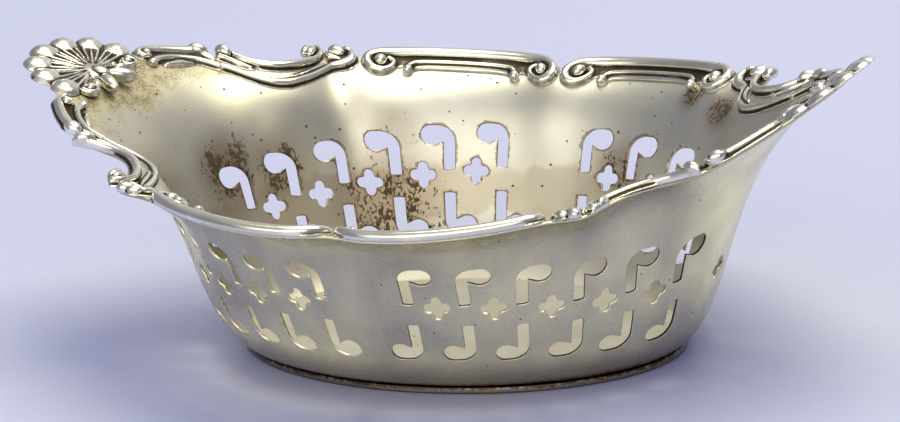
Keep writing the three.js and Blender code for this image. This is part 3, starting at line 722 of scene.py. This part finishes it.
def foot_ring():
    r, c, w, h = FOOT_ROUNDING, FOOT_ROUNDING * FOOT_CORNER_SHARE, FOOT_WIDTH, FOOT_HEIGHT
    section = [(0, r), (c, c), (r, 0), (w - r, 0), (w - c, c), (w, r), (w, h - r), (w - r, h), (r, h),
               (c, h - c), (0, h - r)]
    angles = WALL_ANGLES - SEAM
    rings = []
    for inset, height in section + section[:1]:
        x, y = (FOOT_HALF_LENGTH - inset) * np.cos(angles), (FOOT_HALF_WIDTH - inset) * np.sin(angles)
        rings.append(np.stack([x, y, np.full_like(x, height)], -1))
    faces = [face[::-1] for face in ring_faces(WALL_STEPS_AROUND, len(rings))]
    return mesh_object("silver_foot", np.concatenate(rings), faces)


# Castings: rolls, volutes and beads joined into one skin

def through(places):
    """A smooth line through the given rows, each column carried along with it."""
    rows = np.array(places, float)
    padded = np.concatenate([2 * rows[:1] - rows[1:2], rows, 2 * rows[-1:] - rows[-2:-1]])
    line = []
    for p0, p1, p2, p3 in zip(padded, padded[1:], padded[2:], padded[3:]):
        steps = max(2, round(np.linalg.norm(p2[:2] - p1[:2]) / ROLL_SPACING))
        for t in np.arange(steps) / steps:
            bend = (2 * p0 - 5 * p1 + 4 * p2 - p3) * t * t + (3 * p1 - p0 - 3 * p2 + p3) * t ** 3
            line.append((2 * p1 + (p2 - p0) * t + bend) / 2)
    return np.array(line + [rows[-1]])


def roll(places):
    """A round-ended roll through rows of along, across, half width and crest height."""
    line = through(places)
    half_widths, crests = np.maximum(line[:, 2:], THINNEST_ROLL).T
    ahead = unit(np.gradient(line[:, :2], axis=0))
    middle = np.column_stack([line[:, :2], crests * ROLL_SEAT_SHARE])
    cap = np.radians(np.linspace(ROLL_CAP_FROM, 0, ROLL_CAP_STEPS, endpoint=False))
    reach = np.concatenate([-np.sin(cap), np.zeros(len(line)), np.sin(cap[::-1])])
    shrink = np.concatenate([np.cos(cap), np.ones(len(line)), np.cos(cap[::-1])])
    row = np.clip(np.arange(len(reach)) - ROLL_CAP_STEPS, 0, len(line) - 1)
    middle, ahead, half_widths, crests = middle[row], ahead[row], half_widths[row], crests[row]
    middle[:, :2] += ahead * (reach * half_widths)[:, None]
    flat = np.zeros(len(row))
    side = np.stack([-ahead[:, 1], ahead[:, 0], flat], -1) * (half_widths * shrink)[:, None]
    rise = np.stack([flat, flat, (1 - ROLL_SEAT_SHARE) * crests * shrink], -1)
    turns = 2 * math.pi * np.arange(ROLL_SIDES)[:, None] / ROLL_SIDES
    rings = middle[:, None] + side[:, None] * np.cos(turns) + rise[:, None] * np.sin(turns)
    return capped(np.concatenate([rings.reshape(-1, 3), middle[:1], middle[-1:]]), ROLL_SIDES)


def capped(points, sides):
    """The points, rings first and the two end points last, and the faces that close them."""
    rings = (len(points) - 2) // sides
    faces = ring_faces(sides, rings)
    for k in range(sides):
        after = (k + 1) % sides
        faces.append((after, k, rings * sides))
        faces.append(((rings - 1) * sides + k, (rings - 1) * sides + after, rings * sides + 1))
    return points, faces


def bead(along, across, height, radius, stretch, turn=0.0):
    """A round or drawn-out bead, turned in the flat."""
    lifts = math.pi * np.arange(1, BEAD_SIDES // 2)[:, None] / (BEAD_SIDES // 2) - math.pi / 2
    spins = 2 * math.pi * np.arange(BEAD_SIDES) / BEAD_SIDES
    rings = np.stack(np.broadcast_arrays(
        np.cos(lifts) * np.cos(spins), np.cos(lifts) * np.sin(spins), np.sin(lifts)), -1)
    points = np.concatenate([rings.reshape(-1, 3), [(0, 0, -1), (0, 0, 1)]]) * stretch * radius
    c, s = math.cos(turn), math.sin(turn)
    points = points @ np.array([[c, s, 0], [-s, c, 0], [0, 0, 1]]) + [along, across, height]
    return capped(points, BEAD_SIDES)


def slab(start, end, inner, outer):
    """The thin base of a casting, its ends square."""
    corners = [(along, across, height) for height in (0, BASE_THICKNESS)
               for along, across in ((start, inner), (end, inner), (end, outer), (start, outer))]
    faces = [(3, 2, 1, 0), (4, 5, 6, 7), (0, 1, 5, 4), (1, 2, 6, 5), (2, 3, 7, 6), (3, 0, 4, 7)]
    return np.array(corners, float), faces


def mirrored(form, about):
    points, faces = form
    return points * [-1, 1, 1] + [2 * about, 0, 0], [face[::-1] for face in faces]


def casting_forms(casting, start, end, base_end):
    """Every form of one casting, set out between two places along the edge."""
    def placed(rows):
        return [((end if along < 0 else start) + along, *rest) for along, *rest in rows]

    rolls = {name: placed(rows) for name, rows in casting["rolls"].items()}
    forms = [roll(rows) for rows in rolls.values()]
    for name, first_left_out, last_left_out, wider in casting["flanges"]:
        rows = rolls[name][first_left_out:len(rolls[name]) - last_left_out]
        forms.append(roll([(along, across, half + wider, BASE_THICKNESS) for along, across, half, _ in rows]))
    for from_start, from_end, inner, outer in casting["bases"]:
        forms.append(slab(start + from_start, base_end - from_end, inner, outer))
    return forms + [bead(*knob) for knob in placed(casting["knobs"])]


def lobe_forms(turn):
    """One lobe of a shell: the web down to the hub, three ridges, and the bulb with its crest."""
    out, side = math.cos(turn), math.sin(turn)
    reach = SHELL_RADIUS - LOBE_RADIUS
    web = [(reach * s * out, reach * s * side, WEB_HALF_WIDTH + LOBE_RADIUS * s, WEB_HEIGHT)
           for s in WEB_SHARES]
    forms = [roll(web)]
    for sideways, crest in RIDGES:
        ridge = []
        for share in RIDGE_SHARES:
            along, off = reach * share, sideways * LOBE_RADIUS * share
            ridge.append((along * out - off * side, along * side + off * out,
                          mix(*RIDGE_HALF_WIDTHS, share), crest * mix(RIDGE_START_SHARE, 1, share)))
        forms.append(roll(ridge))
    forms.append(bead(reach * out, reach * side, LOBE_HEIGHT, LOBE_RADIUS, LOBE_DRAWN_OUT, turn))
    reach += LOBE_CREST_FURTHER_OUT
    forms.append(bead(reach * out, reach * side, *LOBE_CREST, turn))
    return forms


def curl_forms(way):
    """The curl and the two leaves on one side of a shell's root."""
    along, across = CURL_PLACE[0], way * CURL_PLACE[1]
    turns, radii = np.radians(way * np.array(CURL_TURNS)), np.linspace(*CURL_RADII, len(CURL_TURNS))
    rows = [(along + radius * math.cos(turn), across + radius * math.sin(turn), *CURL_ROLL)
            for turn, radius in zip(turns, radii)]
    forms = [roll(rows)] + [bead(along, across, *knob) for knob in CURL_KNOBS]
    for along, across, radius, length, spin in SHELL_LEAVES:
        turn = math.radians(180 - way * spin)
        forms.append(bead(along, way * across, SHELL_LEAF_HEIGHT, radius,
                          (length, *SHELL_LEAF_DRAWN_OUT), turn))
    return forms


def shell_forms():
    forms = [bead(*HUB)]
    for lobe in range(SHELL_LOBES):
        forms += lobe_forms(math.radians(SHELL_SPREAD * ((lobe + 0.5) / SHELL_LOBES - 0.5)))
    return forms + curl_forms(-1) + curl_forms(1) + [bead(*HUB_KNOB)]


def skin(forms, voxel):
    """Points, faces and hollowness of one skin over all the forms."""
    points, faces = joined(forms)
    mesh = bpy.data.meshes.new("casting")
    mesh.from_pydata(points.tolist(), [], faces)
    rough = linked("casting", mesh)
    remesh = rough.modifiers.new("skin", "REMESH")
    remesh.mode = "VOXEL"
    remesh.voxel_size = voxel
    remesh.adaptivity = 0
    smooth = rough.modifiers.new("smooth", "SMOOTH")
    smooth.iterations = SKIN_SMOOTHING
    smooth.factor = 0.5
    made = rough.evaluated_get(bpy.context.evaluated_depsgraph_get()).to_mesh()
    coordinates, normals = np.empty((2, len(made.vertices) * 3))
    made.vertices.foreach_get("co", coordinates)
    made.vertices.foreach_get("normal", normals)
    edges = np.empty(len(made.edges) * 2, dtype=np.int32)
    made.edges.foreach_get("vertices", edges)
    made_faces = [list(polygon.vertices) for polygon in made.polygons]
    bpy.data.objects.remove(rough)
    coordinates = coordinates.reshape(-1, 3)
    return coordinates, made_faces, hollowness(coordinates, normals.reshape(-1, 3), edges.reshape(-1, 2))


def hollowness(points, normals, edges):
    """How far each point lies below its surroundings, in millimetres."""
    count = np.zeros(len(points))
    np.add.at(count, edges.ravel(), 1)
    smooth = points.copy()
    for _ in range(HOLLOW_ROUNDS):
        total = np.zeros_like(smooth)
        np.add.at(total, edges[:, 0], smooth[edges[:, 1]])
        np.add.at(total, edges[:, 1], smooth[edges[:, 0]])
        smooth = mix(smooth, total / np.maximum(count, 1)[:, None], HOLLOW_SHARE)
    return np.sum((smooth - points) * normals, axis=1)


def cast_pieces(name, forms):
    """One casting laid on all four quarters, by the name of the solid that each stands for."""
    flat, faces, hollow = skin(forms, CASTING_VOXEL)
    flat[:, 2] = np.maximum(flat[:, 2], 0)
    pieces = {}
    for quarter, signs in QUARTERS.items():
        turned = faces if signs[0] * signs[1] > 0 else [face[::-1] for face in faces]
        points = on_sheet(signs, flat)
        pieces[f"{name}_{quarter}"] = mesh_object(f"{name}_{quarter}_cast", points, turned, hollow=hollow)
    return pieces


def shell_piece(name, sign, pattern):
    """A shell on one handle, its nose turned up, or thicker toward the rear, as that end has it."""
    flat, faces, hollow = pattern
    angle = np.array([0.0 if sign > 0 else math.pi])
    _, up, inward = (vector[0] for vector in wall_slopes(angle, np.ones(1)))
    forward = unit(up)
    side = np.cross(inward, forward)
    lift = SHEET - SHELL_SINK
    tip_x = RIM_HALF_LENGTH + SHELL_OVERHANGS[name]
    centre_x = tip_x - SHELL_RADIUS * abs(forward[0]) + lift * abs(inward[0])
    share = 1 + (centre_x - abs(rim_point(angle)[0, 0])) / abs(up[0])
    centre = wall_point(angle, share)[0] + inward * lift
    to_rear = math.copysign(1, side[1])
    thicker = math.tan(math.radians(SHELL_REAR_UP[name])) * (flat[:, 1:2] * to_rear + SHELL_RADIUS)
    lifted = math.tan(math.radians(SHELL_NOSE_UP[name])) * np.maximum(flat[:, :1], 0)
    height = np.maximum(flat[:, 2:], 0)
    height = height + lifted + thicker * np.clip(height / SHELL_SKIN, 0, 1)
    points = centre + flat[:, :1] * forward + flat[:, 1:2] * side + height * inward
    return mesh_object(f"shell_{name}_cast", points, faces, hollow=hollow)


def border():
    """All the castings, by the name of the solid that each stands for."""
    length = EDGE_TABLE[-1]
    long_end, c_start = length * LONG_SCROLL_END_SHARE, length * C_SCROLL_START_SHARE
    shoulder_end, handle_end = length * SHOULDER_END_SHARE, length * HANDLE_EDGE_END_SHARE
    half_end = long_end / 2 + HALF_OVERLAP
    spans = {
        # start, end, end of the base
        "long_scroll": (0, half_end, half_end),
        "shoulder_scroll": (long_end + PIECE_GAP, shoulder_end, c_start - PIECE_GAP),
        "c_scroll": (c_start, shoulder_end - PIECE_GAP, shoulder_end - PIECE_GAP),
        "handle_edge": (shoulder_end + PIECE_GAP, handle_end, handle_end),
    }
    pieces = {}
    for name, span in spans.items():
        forms = casting_forms(CASTINGS[name], *span)
        if name == "long_scroll":
            forms += [mirrored(form, long_end / 2) for form in forms]
        pieces.update(cast_pieces(name, forms))
    flat, faces, hollow = skin(shell_forms(), SHELL_VOXEL)
    for name, sign in ENDS.items():
        pieces[f"shell_{name}"] = shell_piece(name, sign, (flat, faces, hollow + SHELL_HOLLOW_SHIFT))
    return pieces


# Materials

class Value:
    """An output of a node, used in plain sums; each sum is a node of its own."""

    def __init__(self, nodes, socket):
        self.nodes = nodes
        self.socket = socket

    def __add__(self, other):
        return self.nodes.maths("ADD", self, other)

    def __sub__(self, other):
        return self.nodes.maths("SUBTRACT", self, other)

    def __rsub__(self, other):
        return self.nodes.maths("SUBTRACT", other, self)

    def __mul__(self, other):
        return self.nodes.maths("MULTIPLY", self, other)

    __radd__ = __add__
    __rmul__ = __mul__


class Nodes:
    """A node tree, with short calls for what the materials are made of."""

    def __init__(self, tree):
        self.tree = tree

    def feed(self, socket, value):
        if isinstance(value, Value):
            self.tree.links.new(value.socket, socket)
        else:
            socket.default_value = value

    def add(self, kind, inputs=None, **settings):
        node = self.tree.nodes.new(kind)
        for name, value in settings.items():
            setattr(node, name, value)
        for name, value in (inputs or {}).items():
            self.feed(node.inputs[name], value)
        return node

    def values(self, kind, inputs=None, **settings):
        """A new node's outputs by name."""
        return {socket.name: Value(self, socket) for socket in self.add(kind, inputs, **settings).outputs}

    def value(self, kind, output, inputs=None, **settings):
        return Value(self, self.add(kind, inputs, **settings).outputs[output])

    def maths(self, operation, a, b=0.0):
        return self.value("ShaderNodeMath", 0, {0: a, 1: b}, operation=operation)

    def between(self, value, low, high):
        """0 at low and beyond, 1 at high and beyond, smooth between; low may be the larger."""
        inputs = {"Value": value, "From Min": low, "From Max": high}
        return self.value("ShaderNodeMapRange", "Result", inputs, interpolation_type="SMOOTHSTEP")

    def blend(self, share, first, second):
        """The first colour where the share is 0, the second where it is 1."""
        return self.value("ShaderNodeMix", 2, {0: share, 6: first, 7: second}, data_type="RGBA")

    def noise(self, place, scale, detail=3.0, distortion=0.0):
        inputs = {"Vector": place, "Scale": scale, "Detail": detail, "Distortion": distortion}
        return self.value("ShaderNodeTexNoise", "Fac", inputs)

    def stretched(self, place, shares, turns=(0, 0, 0)):
        inputs = {"Vector": place, "Scale": shares, "Rotation": turns}
        return self.value("ShaderNodeMapping", 0, inputs)


def new_effect(name, inputs, outputs):
    """An empty node group that takes a place and the named values: its nodes, inputs and outputs."""
    tree = bpy.data.node_groups.new(name, "ShaderNodeTree")
    tree.interface.new_socket("Place", in_out="INPUT", socket_type="NodeSocketVector")
    for way, sockets in (("INPUT", inputs), ("OUTPUT", outputs)):
        for socket in sockets:
            tree.interface.new_socket(socket, in_out=way, socket_type="NodeSocketFloat")
    nodes = Nodes(tree)
    return nodes, nodes.values("NodeGroupInput"), nodes.add("NodeGroupOutput").inputs


def tarnish_group():
    """Soft-edged patches: the mask is 0 on clean metal and 1 in the middle of a patch."""
    nodes, given, out = new_effect("tarnish", ["Scale", "Amount", "Softness"], ["Mask"])
    coarse = nodes.noise(given["Place"], given["Scale"], detail=5.0, distortion=0.4)
    edge, softness = TARNISH_EDGE - given["Amount"] * 0.5, given["Softness"]
    nodes.feed(out["Mask"], nodes.between(coarse, edge - softness, edge + softness))
    return nodes.tree


def speck_group():
    """Scattered small dark specks of uneven size."""
    nodes, given, out = new_effect("specks", ["Scale", "Size"], ["Mask"])
    place, scale = given["Place"], given["Scale"]
    cells = nodes.values("ShaderNodeTexVoronoi", {"Vector": place, "Scale": scale})
    luck = nodes.value("ShaderNodeSeparateColor", 0, {0: cells["Color"]})
    ragged = cells["Distance"] + nodes.noise(place, scale * 9.0) * SPECK_RAGGEDNESS
    found = nodes.maths("POWER", luck, 4.0) * given["Size"] - (ragged - 0.05)
    nodes.feed(out["Mask"], nodes.between(found, 0.0, 0.03))
    return nodes.tree


def crust_group():
    """Crumbly dirt, and round the cuts painted shade as well: fine crumbs that close up as the amount grows.
    """
    nodes, given, out = new_effect("crust", ["Scale", "Amount"], ["Mask"])
    place, scale = given["Place"], given["Scale"]
    crumbs = nodes.noise(place, scale, detail=4.0, distortion=0.6)
    clumps = nodes.noise(place, scale * 0.16)
    edge = CRUST_EDGE - given["Amount"] * 0.3
    nodes.feed(out["Mask"], nodes.between(crumbs * 0.6 + clumps * 0.4, edge - 0.02, edge + 0.03))
    return nodes.tree


def polish_group():
    """Fine wiping marks and the slight unevenness of hand-raised sheet, as a bump height, and haze."""
    nodes, given, out = new_effect("polish", ["Scratches"], ["Height", "Haze"])
    place = given["Place"]
    waves = nodes.noise(place, 70.0, detail=2.0)
    marks = nodes.noise(nodes.stretched(place, *WIPING_MARKS), 900.0, detail=2.0)
    nodes.feed(out["Height"], waves * 0.2 + marks * (given["Scratches"] * 0.02))
    nodes.feed(out["Haze"], nodes.noise(place, 220.0, detail=4.0))
    return nodes.tree


class Metal(Nodes):
    """One metal's nodes, with a colour that is painted layer by layer."""

    def __init__(self, name, colour):
        self.material = bpy.data.materials.new(name)
        self.material.use_nodes = True
        super().__init__(self.material.node_tree)
        self.tree.nodes.clear()
        self.shader = self.add("ShaderNodeBsdfPrincipled", {"Metallic": 1.0})
        surface = Value(self, self.shader.outputs[0])
        self.add("ShaderNodeOutputMaterial", {"Surface": surface})
        self.place = self.value("ShaderNodeTexCoord", "Object")
        self.along, _, self.height = self.values("ShaderNodeSeparateXYZ", {0: self.place}).values()
        self.colour = colour

    def attribute(self, name):
        return self.value("ShaderNodeAttribute", "Fac", attribute_name=name)

    def zone(self, value, limits):
        """Like between, for a value in metres and limits in millimetres."""
        return self.between(value, limits[0] * METRE, limits[1] * METRE)

    def greater(self, a, b):
        return self.maths("MAXIMUM", a, b)

    def effect(self, name, **inputs):
        return self.values("ShaderNodeGroup", {"Place": self.place, **inputs}, node_tree=effects[name])

    def mask(self, name, **inputs):
        return self.effect(name, **inputs)["Mask"]

    def paint(self, colour, share):
        self.colour = self.blend(share, self.colour, colour)

    def finished(self, roughness, polish, bump_share, bump_height):
        """The material, with its colour, its roughness and the polish's marks put on the shader."""
        inputs = {"Height": polish["Height"], "Strength": bump_share, "Distance": bump_height * METRE}
        self.feed(self.shader.inputs["Base Color"], self.colour)
        self.feed(self.shader.inputs["Roughness"], roughness)
        self.feed(self.shader.inputs["Normal"], self.value("ShaderNodeBump", "Normal", inputs))
        return self.material


def caked_dirt(metal):
    """1 in the middle of each place where dirt is caked on the bowl."""
    caked = 0.0
    for place, reach, thickness in CAKED_PLACES:
        inputs = {0: metal.place, 1: Vector(place) * METRE}
        away = metal.value("ShaderNodeVectorMath", "Value", inputs, operation="DISTANCE")
        caked = metal.greater(caked, metal.zone(away, (reach, reach * CAKED_FULL_SHARE)) * thickness)
    return caked


def sheet_silver():
    """The bowl: smoky outside, brighter inside with olive ends, crust low down, and brown cut edges, partly
    dirt and partly painted shade.
    """
    metal = Metal("sheet silver", SILVER_OUTSIDE)
    inside, cut, height = metal.attribute("inside"), metal.attribute("cut"), metal.height
    outside = 1.0 - inside
    from_middle = metal.maths("ABSOLUTE", metal.along)
    upright = metal.stretched(metal.place, (1, 1, 0.3))
    flaky = metal.stretched(metal.place, (1, 1, 0.6))
    metal.paint(SILVER_INSIDE, inside)

    # Soft tarnish over the whole sheet, clouds and a brown skirt outside, a worn floor inside
    smoke = metal.mask("tarnish", Scale=55.0, Amount=0.6, Softness=0.25)
    metal.paint(SMOKED, smoke * 0.35 + metal.zone(from_middle, SMOKE_FROM_MIDDLE) * inside * 0.4)
    streaks = metal.mask("tarnish", Place=upright, Scale=110.0, Amount=0.6, Softness=0.22)
    metal.paint(SMOKED, streaks * outside * 0.4)
    clouds = metal.mask("tarnish", Scale=75.0, Amount=0.45, Softness=0.2)
    metal.paint(DULLED, clouds * outside * 0.45)
    metal.paint(BROWN, metal.zone(height, SKIRT_HEIGHTS) * outside * 0.6)
    worn = metal.zone(height, WORN_HEIGHTS) * inside
    metal.paint(WORN_FLOOR, worn * 0.8)
    film = metal.mask("tarnish", Scale=90.0, Amount=0.6, Softness=0.35)
    metal.paint(BROWN, film * worn * 0.35)

    # Grainy olive patches high up at both ends
    ends = metal.zone(from_middle, OLIVE_FROM_MIDDLE)
    amount = ends * metal.zone(height, OLIVE_HEIGHTS) * 1.35
    olive = metal.mask("tarnish", Scale=110.0, Amount=amount, Softness=0.14) * inside * 0.85
    grain = metal.mask("crust", Scale=2600.0, Amount=0.75)
    metal.paint(metal.blend(grain * 0.6, OLIVE, SMOKED), olive)

    # Stains along the pierced belt, brown round the cuts that is partly dirt and partly painted shade of the
    # cut edges, and the caked places
    belt = metal.zone(height, BELT_TOP_HEIGHTS) * metal.zone(height, BELT_FOOT_HEIGHTS) * inside
    stain = metal.mask("tarnish", Place=upright, Scale=150.0, Amount=belt, Softness=0.12)
    metal.paint(BROWN, stain * 0.35)
    caked = caked_dirt(metal) * inside
    stretches = metal.mask("tarnish", Scale=210.0, Amount=0.75, Softness=0.1)
    amount = metal.between(cut, CUT_DIRT_AND_SHADE_REACH, 0.0) * stretches * ((inside + caked) * 0.8 + 0.2)
    metal.paint(BROWN, metal.mask("crust", Scale=1100.0, Amount=amount) * 0.75)
    metal.paint(BROWN, caked * 0.75)

    # Crumbs and specks on top of it all
    crust = metal.greater(metal.mask("crust", Place=flaky, Scale=2000.0, Amount=caked),
                          metal.mask("crust", Scale=2200.0, Amount=ends * inside * 0.4))
    specks = metal.mask("specks", Scale=750.0, Size=inside * 0.09 + 0.17)
    metal.paint(CRUST, crust * 0.85)
    metal.paint(BLACK_DIRT_AND_SHADE, specks * 0.85)

    polish = metal.effect("polish", Scratches=0.5)
    dull = metal.greater(metal.greater(crust, specks), olive)
    roughness = polish["Haze"] * 0.14 + inside * 0.12 + worn * 0.2 + dull * 0.3 + 0.2
    return metal.finished(roughness, polish, 0.6, BOWL_BUMP)


def border_silver():
    """The castings: polished high places, and dark hollows that are partly tarnish and dirt, partly painted
    shade.
    """
    metal = Metal("border silver", SILVER_BRIGHT)
    hollow = metal.attribute("hollow")
    metal.paint(OLIVE, metal.mask("tarnish", Scale=90.0, Amount=0.75, Softness=0.12) * 0.35)
    # Olive on the flanks and black deep in the hollows: partly tarnish and dirt, partly painted shade in the
    # creases and under the rolls and beads
    metal.paint(OLIVE, metal.between(hollow, *FLANK_HOLLOWS) * 0.45)
    patchiness = metal.mask("tarnish", Scale=120.0, Amount=1.0, Softness=0.2) * 0.58 + 0.42
    deep = metal.between(hollow, *DEEP_HOLLOWS) * patchiness
    metal.paint(BLACK_DIRT_AND_SHADE, deep)
    metal.paint(BLACK_DIRT_AND_SHADE, metal.mask("specks", Scale=600.0, Size=0.26) * 0.8)
    polish = metal.effect("polish", Scratches=1.0)
    return metal.finished(polish["Haze"] * 0.12 + deep * 0.35 + 0.12, polish, 0.5, CASTING_BUMP)


def foot_silver():
    """The foot: worn to copper in patches, dirt in the joint above."""
    metal = Metal("foot silver", DULL_FOOT)
    top = metal.zone(metal.height, FOOT_TOP_HEIGHTS)
    patches = metal.mask("tarnish", Scale=160.0, Amount=0.55, Softness=0.1)
    metal.paint(COPPER, patches * (top * 0.7 + 0.15))
    joint = metal.mask("crust", Scale=900.0, Amount=top * 0.7 + 0.25)
    metal.paint(BLACK_DIRT_AND_SHADE, joint * 0.85)
    polish = metal.effect("polish", Scratches=1.0)
    return metal.finished(polish["Haze"] * 0.2 + 0.18, polish, 0.5, FOOT_BUMP)


# Floor, light and camera

def floor():
    s = FLOOR_HALF_SIZE
    piece = mesh_object("pale_floor", [(-s, -s, 0), (s, -s, 0), (s, s, 0), (-s, s, 0)], [(0, 1, 2, 3)])
    material = bpy.data.materials.new("pale floor")
    material.use_nodes = True
    nodes = Nodes(material.node_tree)
    sockets = nodes.tree.nodes["Principled BSDF"].inputs
    grain = nodes.noise(nodes.value("ShaderNodeTexCoord", "Object"), 500.0)
    nodes.feed(sockets["Base Color"], nodes.blend(grain * 0.05, FLOOR_COLOUR, WHITE))
    nodes.feed(sockets["Roughness"], FLOOR_ROUGHNESS)
    nodes.feed(sockets["Specular IOR Level"], FLOOR_SHINE)
    piece.data.materials.append(material)
    piece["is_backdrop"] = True


def room():
    """A bright room with darker sides as camera and metal see it, and a blue fill for the rest."""
    world = bpy.data.worlds.new("soft room")
    world.use_nodes = True
    nodes = Nodes(world.node_tree)
    direction = nodes.value("ShaderNodeTexCoord", "Generated")
    sideways = nodes.maths("ABSOLUTE", nodes.value("ShaderNodeSeparateXYZ", 0, {0: direction}))
    uneven = nodes.noise(direction, 2.2, detail=2.0) * 0.9
    sides = nodes.between(sideways + uneven, *ROOM_SIDE_FROM_TO)
    path = nodes.values("ShaderNodeLightPath")
    seen = nodes.maths("MAXIMUM", path["Is Camera Ray"], path["Is Glossy Ray"])
    colour = nodes.blend(seen, FILL_COLOUR, nodes.blend(sides, ROOM_COLOUR, ROOM_SIDE_COLOUR))
    nodes.feed(nodes.tree.nodes["Background"].inputs["Color"], colour)
    bpy.context.scene.world = world


def lamps():
    for name, place, width, depth, power, colour in LAMPS:
        lamp = bpy.data.lights.new(name, "AREA")
        lamp.shape = "RECTANGLE"
        lamp.size, lamp.size_y = width * METRE, depth * METRE
        lamp.energy = power
        lamp.color = colour
        holder = linked(name, lamp)
        holder.location = Vector(place) * METRE
        toward = Vector(LAMP_TARGET) * METRE - holder.location
        holder.rotation_euler = toward.to_track_quat("-Z", "Y").to_euler()


def camera():
    data = bpy.data.cameras.new("camera")
    data.sensor_width = SENSOR_WIDTH
    data.lens = FOCAL_PIXELS * SENSOR_WIDTH / IMAGE_WIDTH
    data.shift_y = (IMAGE_HEIGHT / 2 - CENTRE_PIXEL_ROW) / IMAGE_WIDTH
    data.clip_start = NEAR_CLIP * METRE
    holder = linked("camera", data)
    columns = Matrix((CAMERA_RIGHT, CAMERA_UP, CAMERA_BACK)).transposed()
    holder.matrix_world = Matrix.Translation(Vector(CAMERA_PLACE) * METRE) @ columns.to_4x4()
    bpy.context.scene.camera = holder
    bpy.context.scene.view_settings.view_transform = "Standard"


# The whole scene

def corners():
    return [list(corner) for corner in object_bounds()]


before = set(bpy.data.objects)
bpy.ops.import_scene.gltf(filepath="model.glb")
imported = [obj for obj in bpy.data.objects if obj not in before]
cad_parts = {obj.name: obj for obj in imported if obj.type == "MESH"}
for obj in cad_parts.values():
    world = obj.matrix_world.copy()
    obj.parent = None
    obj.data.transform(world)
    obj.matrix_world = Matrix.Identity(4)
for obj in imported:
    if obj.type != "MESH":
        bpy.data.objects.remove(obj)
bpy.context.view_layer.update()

effects = {
    "tarnish": tarnish_group(),
    "specks": speck_group(),
    "crust": crust_group(),
    "polish": polish_group(),
}
finishes = {
    "sheet_silver": sheet_silver(),
    "border_silver": border_silver(),
    "foot_silver": foot_silver(),
}


def place_piece(piece, node, finish):
    piece.data.materials.append(finishes[finish])
    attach(piece, "root")
    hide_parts(node)


place_piece(bowl(), "bowl", "sheet_silver")
place_piece(foot_ring(), "foot_ring", "foot_silver")
for node_name, casting in border().items():
    place_piece(casting, node_name, "border_silver")

floor()
room()
lamps()
camera()
